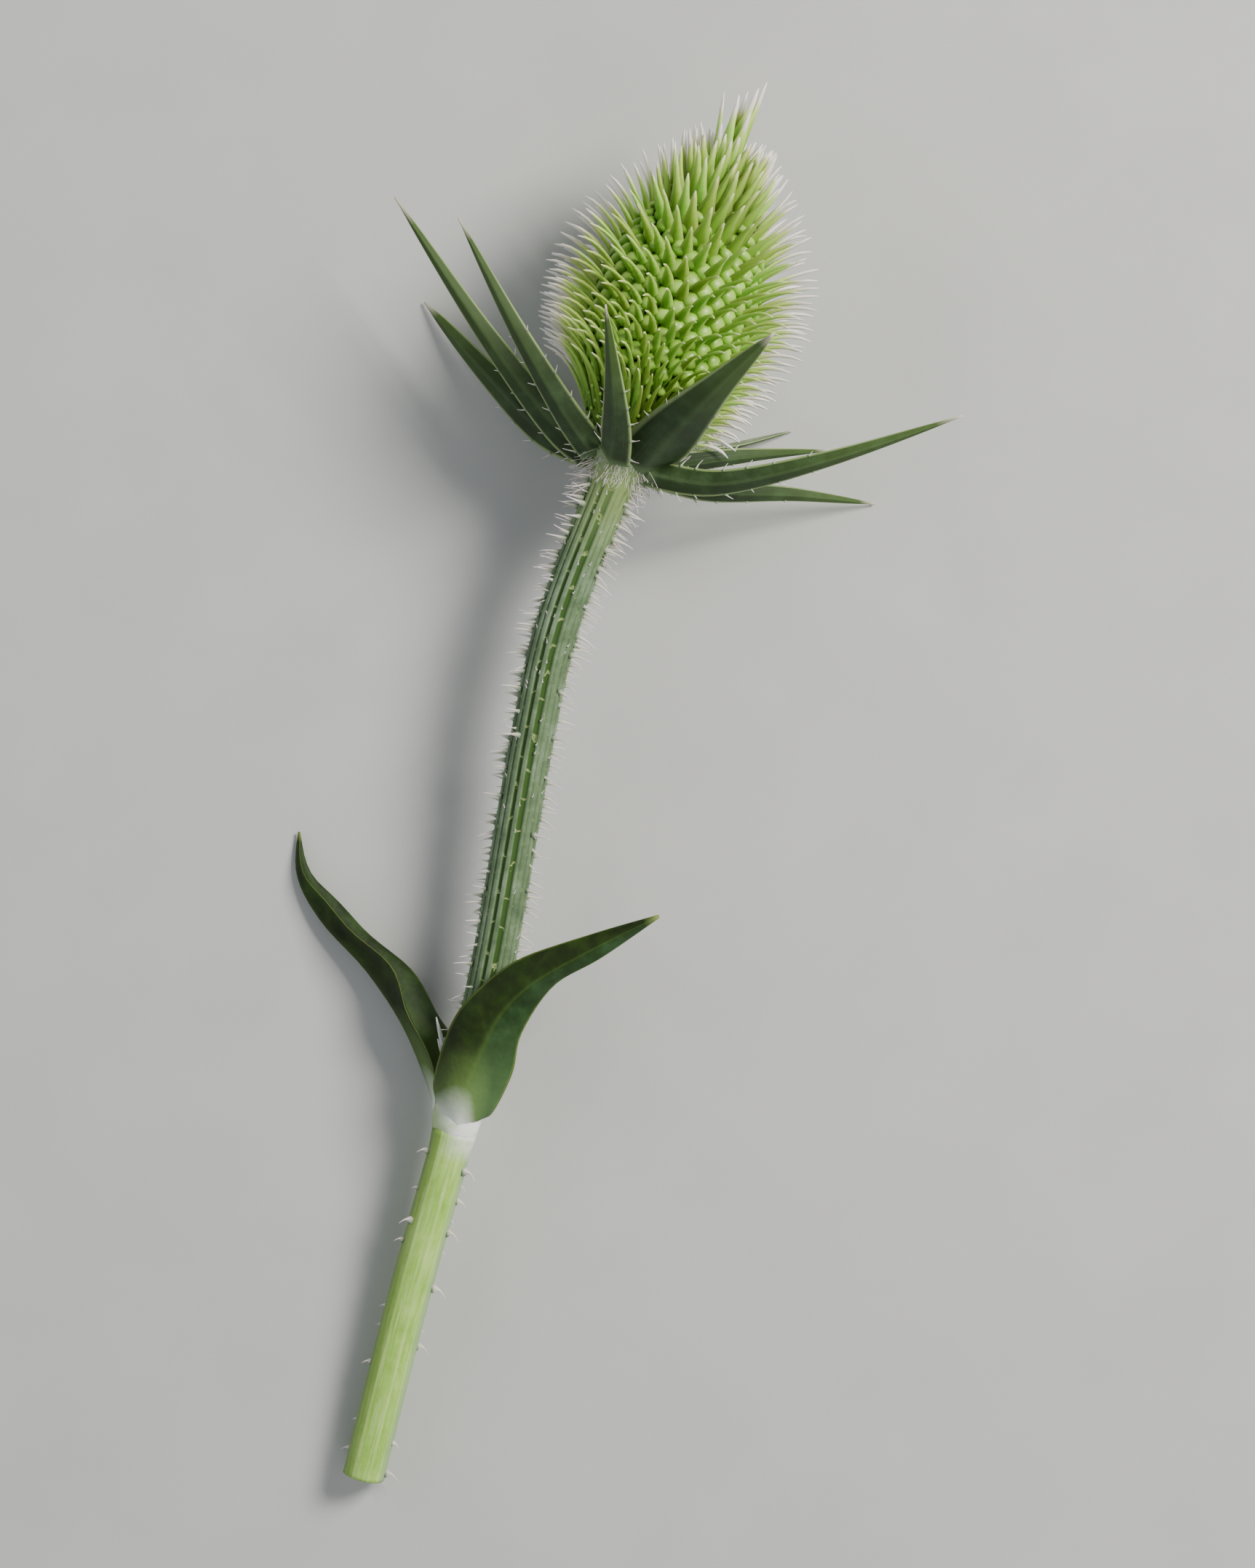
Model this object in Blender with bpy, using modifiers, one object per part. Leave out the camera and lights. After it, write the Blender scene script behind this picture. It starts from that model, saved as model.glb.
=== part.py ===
"""Picked teasel head, green and not yet in flower, lying on a flat surface.

Metres, +Z up. The surface is Z = 0, +Y runs from the cut stem end towards the head, and the origin
is the bottom centre of the whole object's box.
"""

import math

import bmesh
import bpy
from mathutils import Matrix, Vector

MM = 0.001
TINY = 1e-9
GAP = 0.3 * MM  # clear space between pieces that touch on the plant
MERGE_DISTANCE = 0.01 * MM
ROUGHNESS = 0.55

# Head: the distance U runs up its axis from the neck, R is the distance from that axis
NECK = Vector((-0.7, 42.8, 15.9)) * MM
HEAD_TURN = math.radians(20.0)  # the axis leans from +Y towards +X
HEAD_RISE = math.radians(5.4)  # and climbs from the surface
BODY_OUTLINE = [
    (0.0, 4.6), (4.0, 7.0), (11.0, 9.8), (18.5, 10.6),
    (26.0, 9.7), (33.0, 7.0), (38.5, 3.2), (40.5, 0.0),
]
AWN_OUTLINE = [
    (5.0, 11.6), (8.0, 13.6), (13.5, 16.2), (20.5, 17.9),
    (26.0, 17.3), (31.0, 15.7), (37.0, 11.8), (45.0, 3.6),
]
SCALE_LAYER = 2.2 * MM  # depth of bracts and buds over the receptacle
RECEPTACLE_BOTTOM = 0.8 * MM
RECEPTACLE_TOP = 35.5 * MM
RECEPTACLE_SIDES = 24
RECEPTACLE_ROWS = 10
RECEPTACLE_GREEN = (0.33, 0.47, 0.14)

RING_COUNT = 10
RINGS_FROM = 1.8 * MM
RINGS_TO = 37.2 * MM
CELL_PITCH = 2.3 * MM  # from one floral bract to the next round the head
BRACT_STEP = 0.9 * MM  # how far the broad base of a floral bract stands out
BRACT_LEAN = 0.5  # how far a base leans up the head, as a share of how far it stands out
BRACT_NECK = 0.42  # what is left of a bract's base where its awn starts
AWN_RISE = 4.0 * MM  # how far an awn's tip is above its base at the middle of the head
AWN_RISE_AT_ENDS = 3.2 * MM  # and how much more that is at the two ends
AWN_MIDDLE = 22 * MM
AWN_HALF_RANGE = 20 * MM
OUTLINE_STEPS = 400
FLORAL_GREEN = (0.27, 0.44, 0.07)

CREST_FROM = 37.5 * MM
CREST_HEIGHT = 2.6 * MM
CREST_SIDES = 8
CREST_TOP_RADIUS = 1.0 * MM
CREST_LOBES = 3
CREST_TIPS = (46.5 * MM, 50.5 * MM)
CREST_TOP = 51.8 * MM
CREST_SPREAD = 3.4 * MM
CREST_GREEN = (0.36, 0.48, 0.14)

# Involucre: the ring of long bracts under the head
INVOLUCRE_SIDES = 20
INVOLUCRE_OUTLINE = [(0.4, 0.0), (0.4, 3.9), (-0.6, 4.3), (-1.6, 3.7), (-2.6, 2.9), (-2.6, 0.0)]
INVOLUCRE_GREEN = (0.40, 0.50, 0.33)
BRACT_FOOT = (-0.8 * MM, 5.3 * MM)  # where a bract starts: along the axis, and from it
BRACT_THICKNESS = 0.55 * MM
BRACT_ROWS = 10
BRACT_FOLD = 0.35  # how far the two halves fold towards the head, as a share of the half width
BRACT_FOOT_SHARE = 0.55  # of the full width, at the foot
BRACT_WIDENING = 1.5
BRACT_WIDEST = 0.3  # share of the length where the taper to the tip starts
BRACT_TAPER = 1.5
LINE_STEP = 0.01  # share of a line between the two points that give its direction
TIP_WIDTH = 0.35 * MM
BRACT_GREEN = (0.10, 0.16, 0.08)
# Name: turn round the neck in degrees from straight up, full width, how far the outer face turns up,
# and three points from the foot to the tip, all in millimetres
INVOLUCRAL_BRACTS = {
    "front_short": (-22, 4.2, 0.00, [(-2.3, 45.2, 26.4), (-2.6, 51.4, 33.4), (-3.0, 60.7, 38.8)]),
    "front_broad": (16, 6.6, 0.00, [(4.4, 43.0, 26.8), (10.6, 48.6, 34.2), (18.6, 57.4, 41.2)]),
    "right_long": (55, 3.6, 0.55, [(12.0, 38.9, 19.8), (26.1, 41.9, 22.4), (43.3, 47.5, 23.0)]),
    "right_lower": (84, 3.0, 0.45, [(11.0, 38.2, 13.0), (22.0, 38.0, 6.8), (32.8, 37.1, 0.5)]),
    "right_upper": (112, 3.0, 0.35, [(9.4, 42.0, 12.8), (17.0, 43.0, 10.2), (26.5, 43.8, 8.2)]),
    "right_back": (142, 3.2, 0.00, [(8.2, 43.2, 7.4), (14.4, 44.6, 3.4), (21.9, 46.8, 0.5)]),
    "back_right": (174, 3.0, 0.00, [(1.8, 41.6, 6.0), (5.6, 42.4, 2.0), (12.6, 46.2, 0.5)]),
    "back_left": (-154, 3.0, 0.00, [(-5.6, 45.4, 6.8), (-10.6, 50.2, 2.6), (-16.2, 56.6, 0.5)]),
    "left_lower": (-122, 3.6, 0.30, [(-11.4, 46.6, 10.2), (-18.6, 54.0, 5.4), (-26.9, 63.8, 0.5)]),
    "left_long": (-90, 4.4, 0.55, [(-9.6, 46.9, 15.8), (-18.6, 58.6, 16.4), (-30.2, 76.2, 18.0)]),
    "left_upper": (-58, 4.0, 0.25, [(-8.0, 47.8, 21.0), (-14.4, 58.6, 24.8), (-21.7, 72.7, 27.0)]),
}

# Stem: one line from the cut end to the neck, along which the pieces follow each other
STEM_LINE = [
    (-34.9, -91.4), (-28.7, -67.0), (-22.5, -44.6), (-17.7, -23.8),
    (-12.3, 6.8), (-8.7, 22.2), (-1.7, 40.1),
]
CUT_END_HEIGHT = 2.92  # of the stem's axis
STEM_TOP_HEIGHT = 15.63
LOWER_STEM_RADIUS = 2.9 * MM
COLLAR_RADIUS = 3.15 * MM
PEDUNCLE_RADIUS = 2.75 * MM
LOWER_STEM_SPAN = (0.0, 0.348)  # shares of the stem line
COLLAR_SPAN = (0.3505, 0.384)
PEDUNCLE_SPAN = (0.3865, 1.0)
STEM_SIDES = 12
LOWER_STEM_POINTS = 9
COLLAR_POINTS = 5
PEDUNCLE_POINTS = 13
LOWER_STEM_GREEN = (0.42, 0.55, 0.21)
COLLAR_WHITE = (0.70, 0.74, 0.70)
PEDUNCLE_GREEN = (0.20, 0.30, 0.17)

# Leaf pair: three lines each, margin, midrib and margin, in millimetres
LEAF_THICKNESS = 0.5 * MM
LEAF_ROWS = 10
RIGHT_LEAF = (
    [
        (-25.4, -38.6, 9.2), (-23.4, -32.0, 11.6), (-20.2, -27.4, 13.4),
        (-14.1, -22.8, 15.4), (-4.5, -19.4, 18.3), (4.0, -16.9, 20.4),
    ],
    [
        (-21.9, -42.2, 11.7), (-19.6, -36.2, 12.6), (-16.6, -30.2, 14.4),
        (-12.2, -25.9, 16.4), (-4.4, -21.4, 19.0), (4.1, -17.1, 20.6),
    ],
    [
        (-17.6, -43.0, 9.2), (-15.1, -38.0, 11.4), (-13.7, -32.4, 13.4),
        (-9.6, -26.3, 15.8), (-3.4, -22.6, 18.4), (4.2, -17.3, 20.5),
    ],
)
LEFT_LEAF = (
    [
        (-26.4, -38.0, 7.4), (-28.6, -30.6, 8.6), (-32.4, -22.8, 7.4),
        (-39.3, -16.7, 4.6), (-43.2, -11.4, 2.2), (-43.4, -6.3, 0.6),
    ],
    [
        (-26.4, -41.0, 5.6), (-28.9, -31.6, 5.6), (-33.4, -23.9, 4.2),
        (-39.7, -17.9, 2.4), (-43.8, -10.9, 1.2), (-43.5, -6.3, 0.5),
    ],
    [
        (-25.0, -40.4, 3.4), (-24.6, -30.6, 3.0), (-29.4, -24.4, 1.8),
        (-37.0, -17.5, 1.1), (-42.6, -10.7, 0.7), (-43.6, -6.3, 0.5),
    ],
)
LEAF_GREEN = (0.06, 0.11, 0.03)
AXIL_BUD = ((-24.2, -36.0, 6.5), (-25.6, -30.4, 8.6))
AXIL_BUD_RADIUS = 0.55 * MM
AXIL_BUD_TIP = 0.1 * MM
AXIL_BUD_SIDES = 8
AXIL_BUD_COLOUR = (0.5, 0.5, 0.45)


def slope_at(points, i):
    """Slope of a smooth outline at its point i, from the points on either side."""
    before, after = points[max(i - 1, 0)], points[min(i + 1, len(points) - 1)]
    return (after[1] - before[1]) / (after[0] - before[0])


def outline_at(outline, u):
    """Radius of a turned outline at the height u, smoothed through its points, in metres."""
    points = [(a * MM, b * MM) for a, b in outline]
    u = min(max(u, points[0][0]), points[-1][0])
    k = max(i for i in range(len(points) - 1) if points[i][0] <= u)
    slope = [slope_at(points, i) for i in (k, k + 1)]
    width = points[k + 1][0] - points[k][0]
    t = (u - points[k][0]) / width
    start = points[k][1] * (2 * t**3 - 3 * t**2 + 1) + slope[0] * width * (t**3 - 2 * t**2 + t)
    return start + points[k + 1][1] * (3 * t**2 - 2 * t**3) + slope[1] * width * (t**3 - t**2)


def smooth_line(points, share):
    """Point at a share from 0 to 1 of a smooth line through the given points, evenly by their count."""
    last = len(points) - 1
    k = min(int(share * last), last - 1)
    a, b = Vector(points[k]), Vector(points[k + 1])
    before = Vector(points[k - 1]) if k else a
    after = Vector(points[k + 2]) if k + 2 <= last else b
    start, end = (b - before) / 2, (after - a) / 2
    t = share * last - k
    return interpolate_cubic(a, a + start / 3, b - end / 3, b, t)


def interpolate_cubic(a, b, c, d, t):
    """Point at the share t of the Bezier curve with the control points a, b, c and d."""
    s = 1 - t
    return a * s**3 + b * 3 * s * s * t + c * 3 * s * t * t + d * t**3


def clear_scene():
    for obj in list(bpy.data.objects):
        bpy.data.objects.remove(obj, do_unlink=True)


def plant_material(name, colour):
    material = bpy.data.materials.new(name)
    material.use_nodes = True
    shader = material.node_tree.nodes["Principled BSDF"]
    shader.inputs["Base Color"].default_value = (*colour, 1.0)
    shader.inputs["Roughness"].default_value = ROUGHNESS
    shader.inputs["Metallic"].default_value = 0.0
    return material


def add_object(name, data, colour, matrix=None):
    obj = bpy.data.objects.new(name, data)
    data.materials.append(plant_material(name, colour))
    if matrix is not None:
        obj.matrix_world = matrix
    teasel.objects.link(obj)
    return obj


def mesh_from(bm, name):
    """Mesh from a bmesh, which is freed."""
    mesh = bpy.data.meshes.new(name)
    bm.to_mesh(mesh)
    bm.free()
    return mesh


def head_matrix():
    """Local Z up the head's axis, local X to its right, local -Y up from the surface."""
    flat = math.cos(HEAD_RISE)
    axis = Vector((math.sin(HEAD_TURN) * flat, math.cos(HEAD_TURN) * flat, math.sin(HEAD_RISE)))
    right = Vector((math.cos(HEAD_TURN), -math.sin(HEAD_TURN), 0.0))
    back = axis.cross(right)
    turn = Matrix((right, back, axis)).transposed().to_4x4()
    return Matrix.Translation(NECK) @ turn


def turned(name, outline, sides, colour):
    """Solid turned round the head's axis from a profile of (u, r) in metres, first point at the top."""
    mesh = bpy.data.meshes.new(name)
    points = [(r, 0.0, u) for u, r in outline]
    mesh.from_pydata(points, [(i, i + 1) for i in range(len(points) - 1)], [])
    obj = add_object(name, mesh, colour, head_matrix())
    screw = obj.modifiers.new("Turn", "SCREW")
    screw.steps = screw.render_steps = sides
    screw.use_merge_vertices = True
    screw.merge_threshold = MERGE_DISTANCE
    screw.use_smooth_shade = True


def build_receptacle():
    """The green core of the head, a little inside the layer of floral bracts."""
    step = (RECEPTACLE_BOTTOM - RECEPTACLE_TOP) / (RECEPTACLE_ROWS - 1)
    heights = [RECEPTACLE_TOP + step * i for i in range(RECEPTACLE_ROWS)]
    outline = [(u, outline_at(BODY_OUTLINE, u) - SCALE_LAYER) for u in heights]
    closed = [(RECEPTACLE_TOP, 0.0)] + outline + [(RECEPTACLE_BOTTOM, 0.0)]
    turned("receptacle", closed, RECEPTACLE_SIDES, RECEPTACLE_GREEN)


def build_involucre_base():
    """The thickened neck that the long bracts grow from."""
    outline = [(u * MM, r * MM) for u, r in INVOLUCRE_OUTLINE]
    turned("involucre_base", outline, INVOLUCRE_SIDES, INVOLUCRE_GREEN)


def awn_tip(u):
    """Height and radius of the awn tip of a floral bract that grows at the height u."""
    height = u + AWN_RISE + AWN_RISE_AT_ENDS * ((u - AWN_MIDDLE) / AWN_HALF_RANGE) ** 2
    return height, outline_at(AWN_OUTLINE, height)


def grow_spikes(bm, faces, tips):
    """Raises each face to a narrower step, then to one point."""
    raised = bmesh.ops.extrude_discrete_faces(bm, faces=faces)["faces"]
    centres = [face.calc_center_median() for face in raised]
    for face, centre in zip(raised, centres):
        push = Vector((centre.x, centre.y, 0.0)).normalized() + Vector((0.0, 0.0, BRACT_LEAN))
        for vert in face.verts:
            vert.co = centre + push * BRACT_STEP + (vert.co - centre) * BRACT_NECK
    for face, centre in zip(raised, centres):
        azimuth = math.atan2(centre.y, centre.x)
        height, radius = tips(centre.z, azimuth)
        poked = bmesh.ops.poke(bm, faces=[face])
        poked["verts"][0].co = (radius * math.cos(azimuth), radius * math.sin(azimuth), height)


def ring_edges():
    """Heights that cut the head's outline into rings of equal slant length."""
    step = (RINGS_TO - RINGS_FROM) / OUTLINE_STEPS
    heights = [RINGS_FROM + step * i for i in range(OUTLINE_STEPS + 1)]
    radii = [outline_at(BODY_OUTLINE, u) for u in heights]
    length = [0.0]
    for i in range(OUTLINE_STEPS):
        length.append(length[-1] + math.hypot(heights[i + 1] - heights[i], radii[i + 1] - radii[i]))
    edges = []
    for ring in range(RING_COUNT + 1):
        wanted = length[-1] * ring / RING_COUNT
        edges.append(next(u for u, run in zip(heights, length) if run >= wanted - TINY))
    return edges


def build_floral_ring(number, low, high):
    """One turn of floral bracts with their buds, joined at the base into a band."""
    name = f"floral_ring_{number:02d}"
    low, high = low + GAP / 2, high - GAP / 2
    outer = [outline_at(BODY_OUTLINE, u) for u in (low, high)]
    inner = [outline_at(BODY_OUTLINE, u) - SCALE_LAYER + GAP for u in (low, high)]
    cells = round(2 * math.pi * sum(outer) / 2 / CELL_PITCH)
    bm = bmesh.new()
    profile = [(inner[0], low), (outer[0], low), (outer[1], high), (inner[1], high)]
    turn = Matrix.Rotation(math.pi * (number % 2) / cells, 3, "Z")
    verts = [bm.verts.new(turn @ Vector((r, 0.0, u))) for r, u in profile]
    edges = [bm.edges.new((verts[i], verts[(i + 1) % 4])) for i in range(4)]
    bmesh.ops.spin(
        bm, geom=edges, cent=(0, 0, 0), axis=(0, 0, 1), dvec=(0, 0, 0),
        angle=2 * math.pi, steps=cells, use_merge=True,
    )
    bmesh.ops.recalc_face_normals(bm, faces=bm.faces)
    # A floral bract grows from each face of the outer wall: its centre is at the outer radius
    outside = []
    for face in bm.faces:
        centre = face.calc_center_median()
        facing = centre.xy.normalized().dot(face.normal.xy)
        if facing > 0 and abs(centre.xy.length - sum(outer) / 2) < SCALE_LAYER / 4:
            outside.append(face)
    grow_spikes(bm, outside, lambda height, azimuth: awn_tip(height))
    add_object(name, mesh_from(bm, name), FLORAL_GREEN, head_matrix())


def build_crest():
    """The tuft of longer bracts at the top of the head."""
    bm = bmesh.new()
    bmesh.ops.create_cone(
        bm, cap_ends=True, segments=CREST_SIDES, radius1=outline_at(BODY_OUTLINE, CREST_FROM) - GAP,
        radius2=CREST_TOP_RADIUS, depth=CREST_HEIGHT,
    )
    bmesh.ops.translate(bm, verts=bm.verts, vec=(0, 0, CREST_FROM + CREST_HEIGHT / 2))
    sides = [f for f in bm.faces if len(f.verts) == 4]
    top = max((f for f in bm.faces if len(f.verts) != 4), key=lambda f: f.calc_center_median().z)
    low, high = CREST_TIPS

    def tips(height, azimuth):
        share = 0.5 + 0.5 * math.sin(CREST_LOBES * azimuth)
        return low + (high - low) * share, CREST_SPREAD * (1.0 - 0.5 * share)

    grow_spikes(bm, sides, tips)
    bmesh.ops.poke(bm, faces=[top])["verts"][0].co.z = CREST_TOP
    add_object("crest_bracts", mesh_from(bm, "crest_bracts"), CREST_GREEN, head_matrix())


def blade(name, rows, place, thickness, colour):
    """Leaf or bract: a grid of two strips, each point put where place(along, across) says."""
    bm = bmesh.new()
    bmesh.ops.create_grid(bm, x_segments=2, y_segments=rows, size=1.0)
    for vert in bm.verts:
        vert.co = place((vert.co.y + 1) / 2, round(vert.co.x))
    bmesh.ops.recalc_face_normals(bm, faces=bm.faces)
    obj = add_object(name, mesh_from(bm, name), colour)
    solid = obj.modifiers.new("Thickness", "SOLIDIFY")
    solid.thickness = thickness
    solid.offset = 0.0
    return obj


def build_involucral_bract(name, turn, width, face_up, points):
    """One long folded bract, from its foot on the neck to its tip."""
    matrix = head_matrix()
    axis = matrix.col[2].xyz
    along_axis, from_axis = BRACT_FOOT
    turn = math.radians(turn)
    foot = matrix @ Vector((from_axis * math.sin(turn), -from_axis * math.cos(turn), along_axis))
    line = [foot] + [Vector(point) * MM for point in points]

    def place(along, across):
        here = smooth_line(line, along)
        ahead = smooth_line(line, min(along + LINE_STEP, 1.0))
        behind = smooth_line(line, max(along - LINE_STEP, 0.0))
        tangent = (ahead - behind).normalized()
        away = here - NECK
        away -= axis * away.dot(axis)
        outward = away.normalized() * (1 - face_up) + Vector((0, 0, 1)) * face_up
        outward = (outward - tangent * outward.dot(tangent)).normalized()
        side = tangent.cross(outward)
        widened = min(1.0, BRACT_FOOT_SHARE + BRACT_WIDENING * along)
        past_widest = max(0.0, (along - BRACT_WIDEST) / (1 - BRACT_WIDEST))
        half = max(TIP_WIDTH, width * MM * widened * (1 - past_widest**BRACT_TAPER)) / 2
        fold = BRACT_FOLD * half * abs(across)
        return here + side * half * across - outward * fold

    blade("involucral_bract_" + name, BRACT_ROWS, place, BRACT_THICKNESS, BRACT_GREEN)


def build_leaf(name, margin_a, midrib, margin_b):
    """A leaf between its two margins, folded along its midrib."""
    lines = [[Vector(point) * MM for point in line] for line in (margin_a, midrib, margin_b)]

    def place(along, across):
        return smooth_line(lines[across + 1], along)

    blade(name, LEAF_ROWS, place, LEAF_THICKNESS, LEAF_GREEN)


def stem_point(share):
    """Point of the stem's axis: a smooth line seen from above that climbs evenly."""
    flat = [Vector((x, y, 0.0)) for x, y in STEM_LINE]
    runs = [0.0]
    for a, b in zip(flat, flat[1:]):
        runs.append(runs[-1] + (b - a).length)
    wanted = share * runs[-1]
    k = min(max(i for i in range(len(runs)) if runs[i] <= wanted + TINY), len(flat) - 2)
    local = (wanted - runs[k]) / (runs[k + 1] - runs[k])
    point = smooth_line(flat, (k + local) / (len(flat) - 1))
    point.z = CUT_END_HEIGHT + (STEM_TOP_HEIGHT - CUT_END_HEIGHT) * share
    return point * MM


def stem_piece(name, span, radii, points, colour):
    """Tube along a stretch of the stem line; radii run evenly from its start to its end."""
    data = bpy.data.curves.new(name, "CURVE")
    data.dimensions = "3D"
    data.bevel_depth = 1.0
    data.bevel_resolution = STEM_SIDES // 2 - 2
    data.use_fill_caps = True
    spline = data.splines.new("POLY")
    spline.points.add(points - 1)
    for i, point in enumerate(spline.points):
        along = i / (points - 1)
        place = along * (len(radii) - 1)
        k = min(int(place), len(radii) - 2)
        point.co = (*stem_point(span[0] + (span[1] - span[0]) * along), 1.0)
        point.radius = radii[k] + (radii[k + 1] - radii[k]) * (place - k)
    add_object(name, data, colour)


def build_stem():
    """The lower stem, the swollen node of the leaf pair, and the peduncle under the head."""
    lower = [LOWER_STEM_RADIUS, LOWER_STEM_RADIUS]
    stem_piece("lower_stem", LOWER_STEM_SPAN, lower, LOWER_STEM_POINTS, LOWER_STEM_GREEN)
    collar = [LOWER_STEM_RADIUS, COLLAR_RADIUS, PEDUNCLE_RADIUS]
    stem_piece("leaf_node_collar", COLLAR_SPAN, collar, COLLAR_POINTS, COLLAR_WHITE)
    upper = [PEDUNCLE_RADIUS, PEDUNCLE_RADIUS]
    stem_piece("peduncle", PEDUNCLE_SPAN, upper, PEDUNCLE_POINTS, PEDUNCLE_GREEN)


def build_axil_bud():
    """The small pointed bud in the angle of the left leaf."""
    base, tip = (Vector(point) * MM for point in AXIL_BUD)
    bm = bmesh.new()
    length = (tip - base).length
    bmesh.ops.create_cone(
        bm, cap_ends=True, segments=AXIL_BUD_SIDES, radius1=AXIL_BUD_RADIUS,
        radius2=AXIL_BUD_TIP, depth=length,
    )
    turn = (tip - base).to_track_quat("Z", "Y").to_matrix().to_4x4()
    bmesh.ops.transform(bm, matrix=Matrix.Translation((base + tip) / 2) @ turn, verts=bm.verts)
    add_object("axillary_bud", mesh_from(bm, "axillary_bud"), AXIL_BUD_COLOUR)


clear_scene()
teasel = bpy.data.collections.new("teasel_head")
bpy.context.scene.collection.children.link(teasel)

build_receptacle()
build_involucre_base()
edges = ring_edges()
for number in range(RING_COUNT):
    build_floral_ring(number + 1, edges[number], edges[number + 1])
build_crest()
for name, (turn, width, face_up, points) in INVOLUCRAL_BRACTS.items():
    build_involucral_bract(name, turn, width, face_up, points)
build_stem()
build_leaf("leaf_right", *RIGHT_LEAF)
build_leaf("leaf_left", *LEFT_LEAF)
build_axil_bud()
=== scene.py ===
# %% [markdown]
# # A picked teasel head
#
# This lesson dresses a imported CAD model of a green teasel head, cut from its plant and laid on a
# table, as it looks close up. The CAD model gives the places and the sizes, and it is never changed.
# Every piece here is a finer one that stands where its CAD node stands.
#
# The frame is in metres. +Z is up from the table, +Y runs from the cut end towards the head.

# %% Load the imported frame
import math
import random

import bmesh
import bpy
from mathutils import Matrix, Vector


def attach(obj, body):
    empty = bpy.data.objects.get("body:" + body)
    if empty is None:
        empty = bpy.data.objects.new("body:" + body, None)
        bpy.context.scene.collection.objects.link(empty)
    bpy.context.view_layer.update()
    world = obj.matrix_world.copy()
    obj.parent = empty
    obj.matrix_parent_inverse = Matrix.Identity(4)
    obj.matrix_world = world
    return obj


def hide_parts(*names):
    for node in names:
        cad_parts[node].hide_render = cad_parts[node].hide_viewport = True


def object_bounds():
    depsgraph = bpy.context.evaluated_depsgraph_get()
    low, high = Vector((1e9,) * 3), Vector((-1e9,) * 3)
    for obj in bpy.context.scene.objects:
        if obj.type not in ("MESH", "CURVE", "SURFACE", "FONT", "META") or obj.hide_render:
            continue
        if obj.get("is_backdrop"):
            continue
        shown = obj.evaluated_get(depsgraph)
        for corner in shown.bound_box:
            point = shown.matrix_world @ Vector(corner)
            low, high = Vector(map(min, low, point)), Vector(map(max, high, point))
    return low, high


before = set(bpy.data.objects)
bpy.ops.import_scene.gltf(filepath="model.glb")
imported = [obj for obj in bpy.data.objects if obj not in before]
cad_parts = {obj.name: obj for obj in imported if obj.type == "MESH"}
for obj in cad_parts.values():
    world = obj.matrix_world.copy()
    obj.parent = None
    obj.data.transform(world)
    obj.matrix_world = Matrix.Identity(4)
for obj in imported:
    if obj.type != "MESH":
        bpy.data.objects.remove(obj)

MM = 0.001
cad_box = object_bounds()
for name, corner in zip(("lowest", "highest"), cad_box):
    print(f"{name} corner of the CAD box in mm:", [round(value / MM, 1) for value in corner])

# %% [markdown]
# ## Lines and outlines
#
# A plant has no straight edges, so each part of it hangs on a smooth line through a few points that
# were measured for the CAD model. The same few points and the same curve are used here, so the fine
# pieces follow the CAD ones. An outline gives a radius for each height of a turned shape.

# %% Smooth lines through a few points
def smooth_line(points, share):
    """Point at a share from 0 to 1 of a smooth line through the given points, evenly by their count."""
    last = len(points) - 1
    k = min(int(share * last), last - 1)
    a, b = Vector(points[k]), Vector(points[k + 1])
    before = Vector(points[k - 1]) if k else a
    after = Vector(points[k + 2]) if k + 2 <= last else b
    return cubic(a, a + (b - before) / 6, b - (after - a) / 6, b, share * last - k)


def cubic(a, b, c, d, t):
    """Point of a cubic curve with the four control points a, b, c and d."""
    s = 1 - t
    return a * s**3 + b * 3 * s * s * t + c * 3 * s * t * t + d * t**3


def along_line(points, share):
    """Point and direction of a smooth line."""
    step = smooth_line(points, min(share + 0.01, 1.0)) - smooth_line(points, max(share - 0.01, 0.0))
    return smooth_line(points, share), step.normalized()


def between(table, where, column=1):
    """Value of one column of a table of rows at a place between two rows, in straight steps."""
    where = min(max(where, table[0][0]), table[-1][0])
    k = min(max(i for i in range(len(table)) if table[i][0] <= where), len(table) - 2)
    share = (where - table[k][0]) / (table[k + 1][0] - table[k][0])
    return table[k][column] + (table[k + 1][column] - table[k][column]) * share


def outline_at(outline, u):
    """Radius of a turned outline at the height u, smoothed through its points, in millimetres."""
    u = min(max(u, outline[0][0]), outline[-1][0])
    last = len(outline) - 1
    k = min(max(i for i in range(last + 1) if outline[i][0] <= u), last - 1)
    slopes = []
    for i in (k, k + 1):
        low, high = outline[max(i - 1, 0)], outline[min(i + 1, last)]
        slopes.append((high[1] - low[1]) / (high[0] - low[0]))
    width = outline[k + 1][0] - outline[k][0]
    t = (u - outline[k][0]) / width
    start, end = outline[k][1], outline[k + 1][1]
    return cubic(start, start + slopes[0] * width / 3, end - slopes[1] * width / 3, end, t)


# %% [markdown]
# ## One way to make every blade, awn and prickle
#
# Bracts, leaves, awns, prickles and the stem itself are all long closed tubes: a blade is a tube
# pressed flat and a prickle is a tube drawn to a point. So one bmesh cone with equal ends, cut into
# rings by subdividing its long edges, is the start of them all. A copy of it is taken for each piece
# and every corner is moved to the place that the piece's own rule gives for its share of the length
# and its turn round the section. The shares are kept as attributes, which the materials read.

# %% Tubes and how they are grown
MARKS = ("along", "across", "face", "tint")


def tube_template(name, rows, sides):
    """Mesh of a closed tube of one unit length and one unit radius, cut into rings."""
    bm = bmesh.new()
    bmesh.ops.create_cone(bm, cap_ends=True, segments=sides, radius1=1.0, radius2=1.0, depth=1.0)
    bmesh.ops.translate(bm, verts=bm.verts, vec=(0, 0, 0.5))
    long_edges = [e for e in bm.edges if abs(e.verts[0].co.z - e.verts[1].co.z) > 0.5]
    bmesh.ops.subdivide_edges(bm, edges=long_edges, cuts=rows - 1, use_grid_fill=True)
    mesh = bpy.data.meshes.new(name)
    bm.to_mesh(mesh)
    bm.free()
    return mesh


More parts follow.
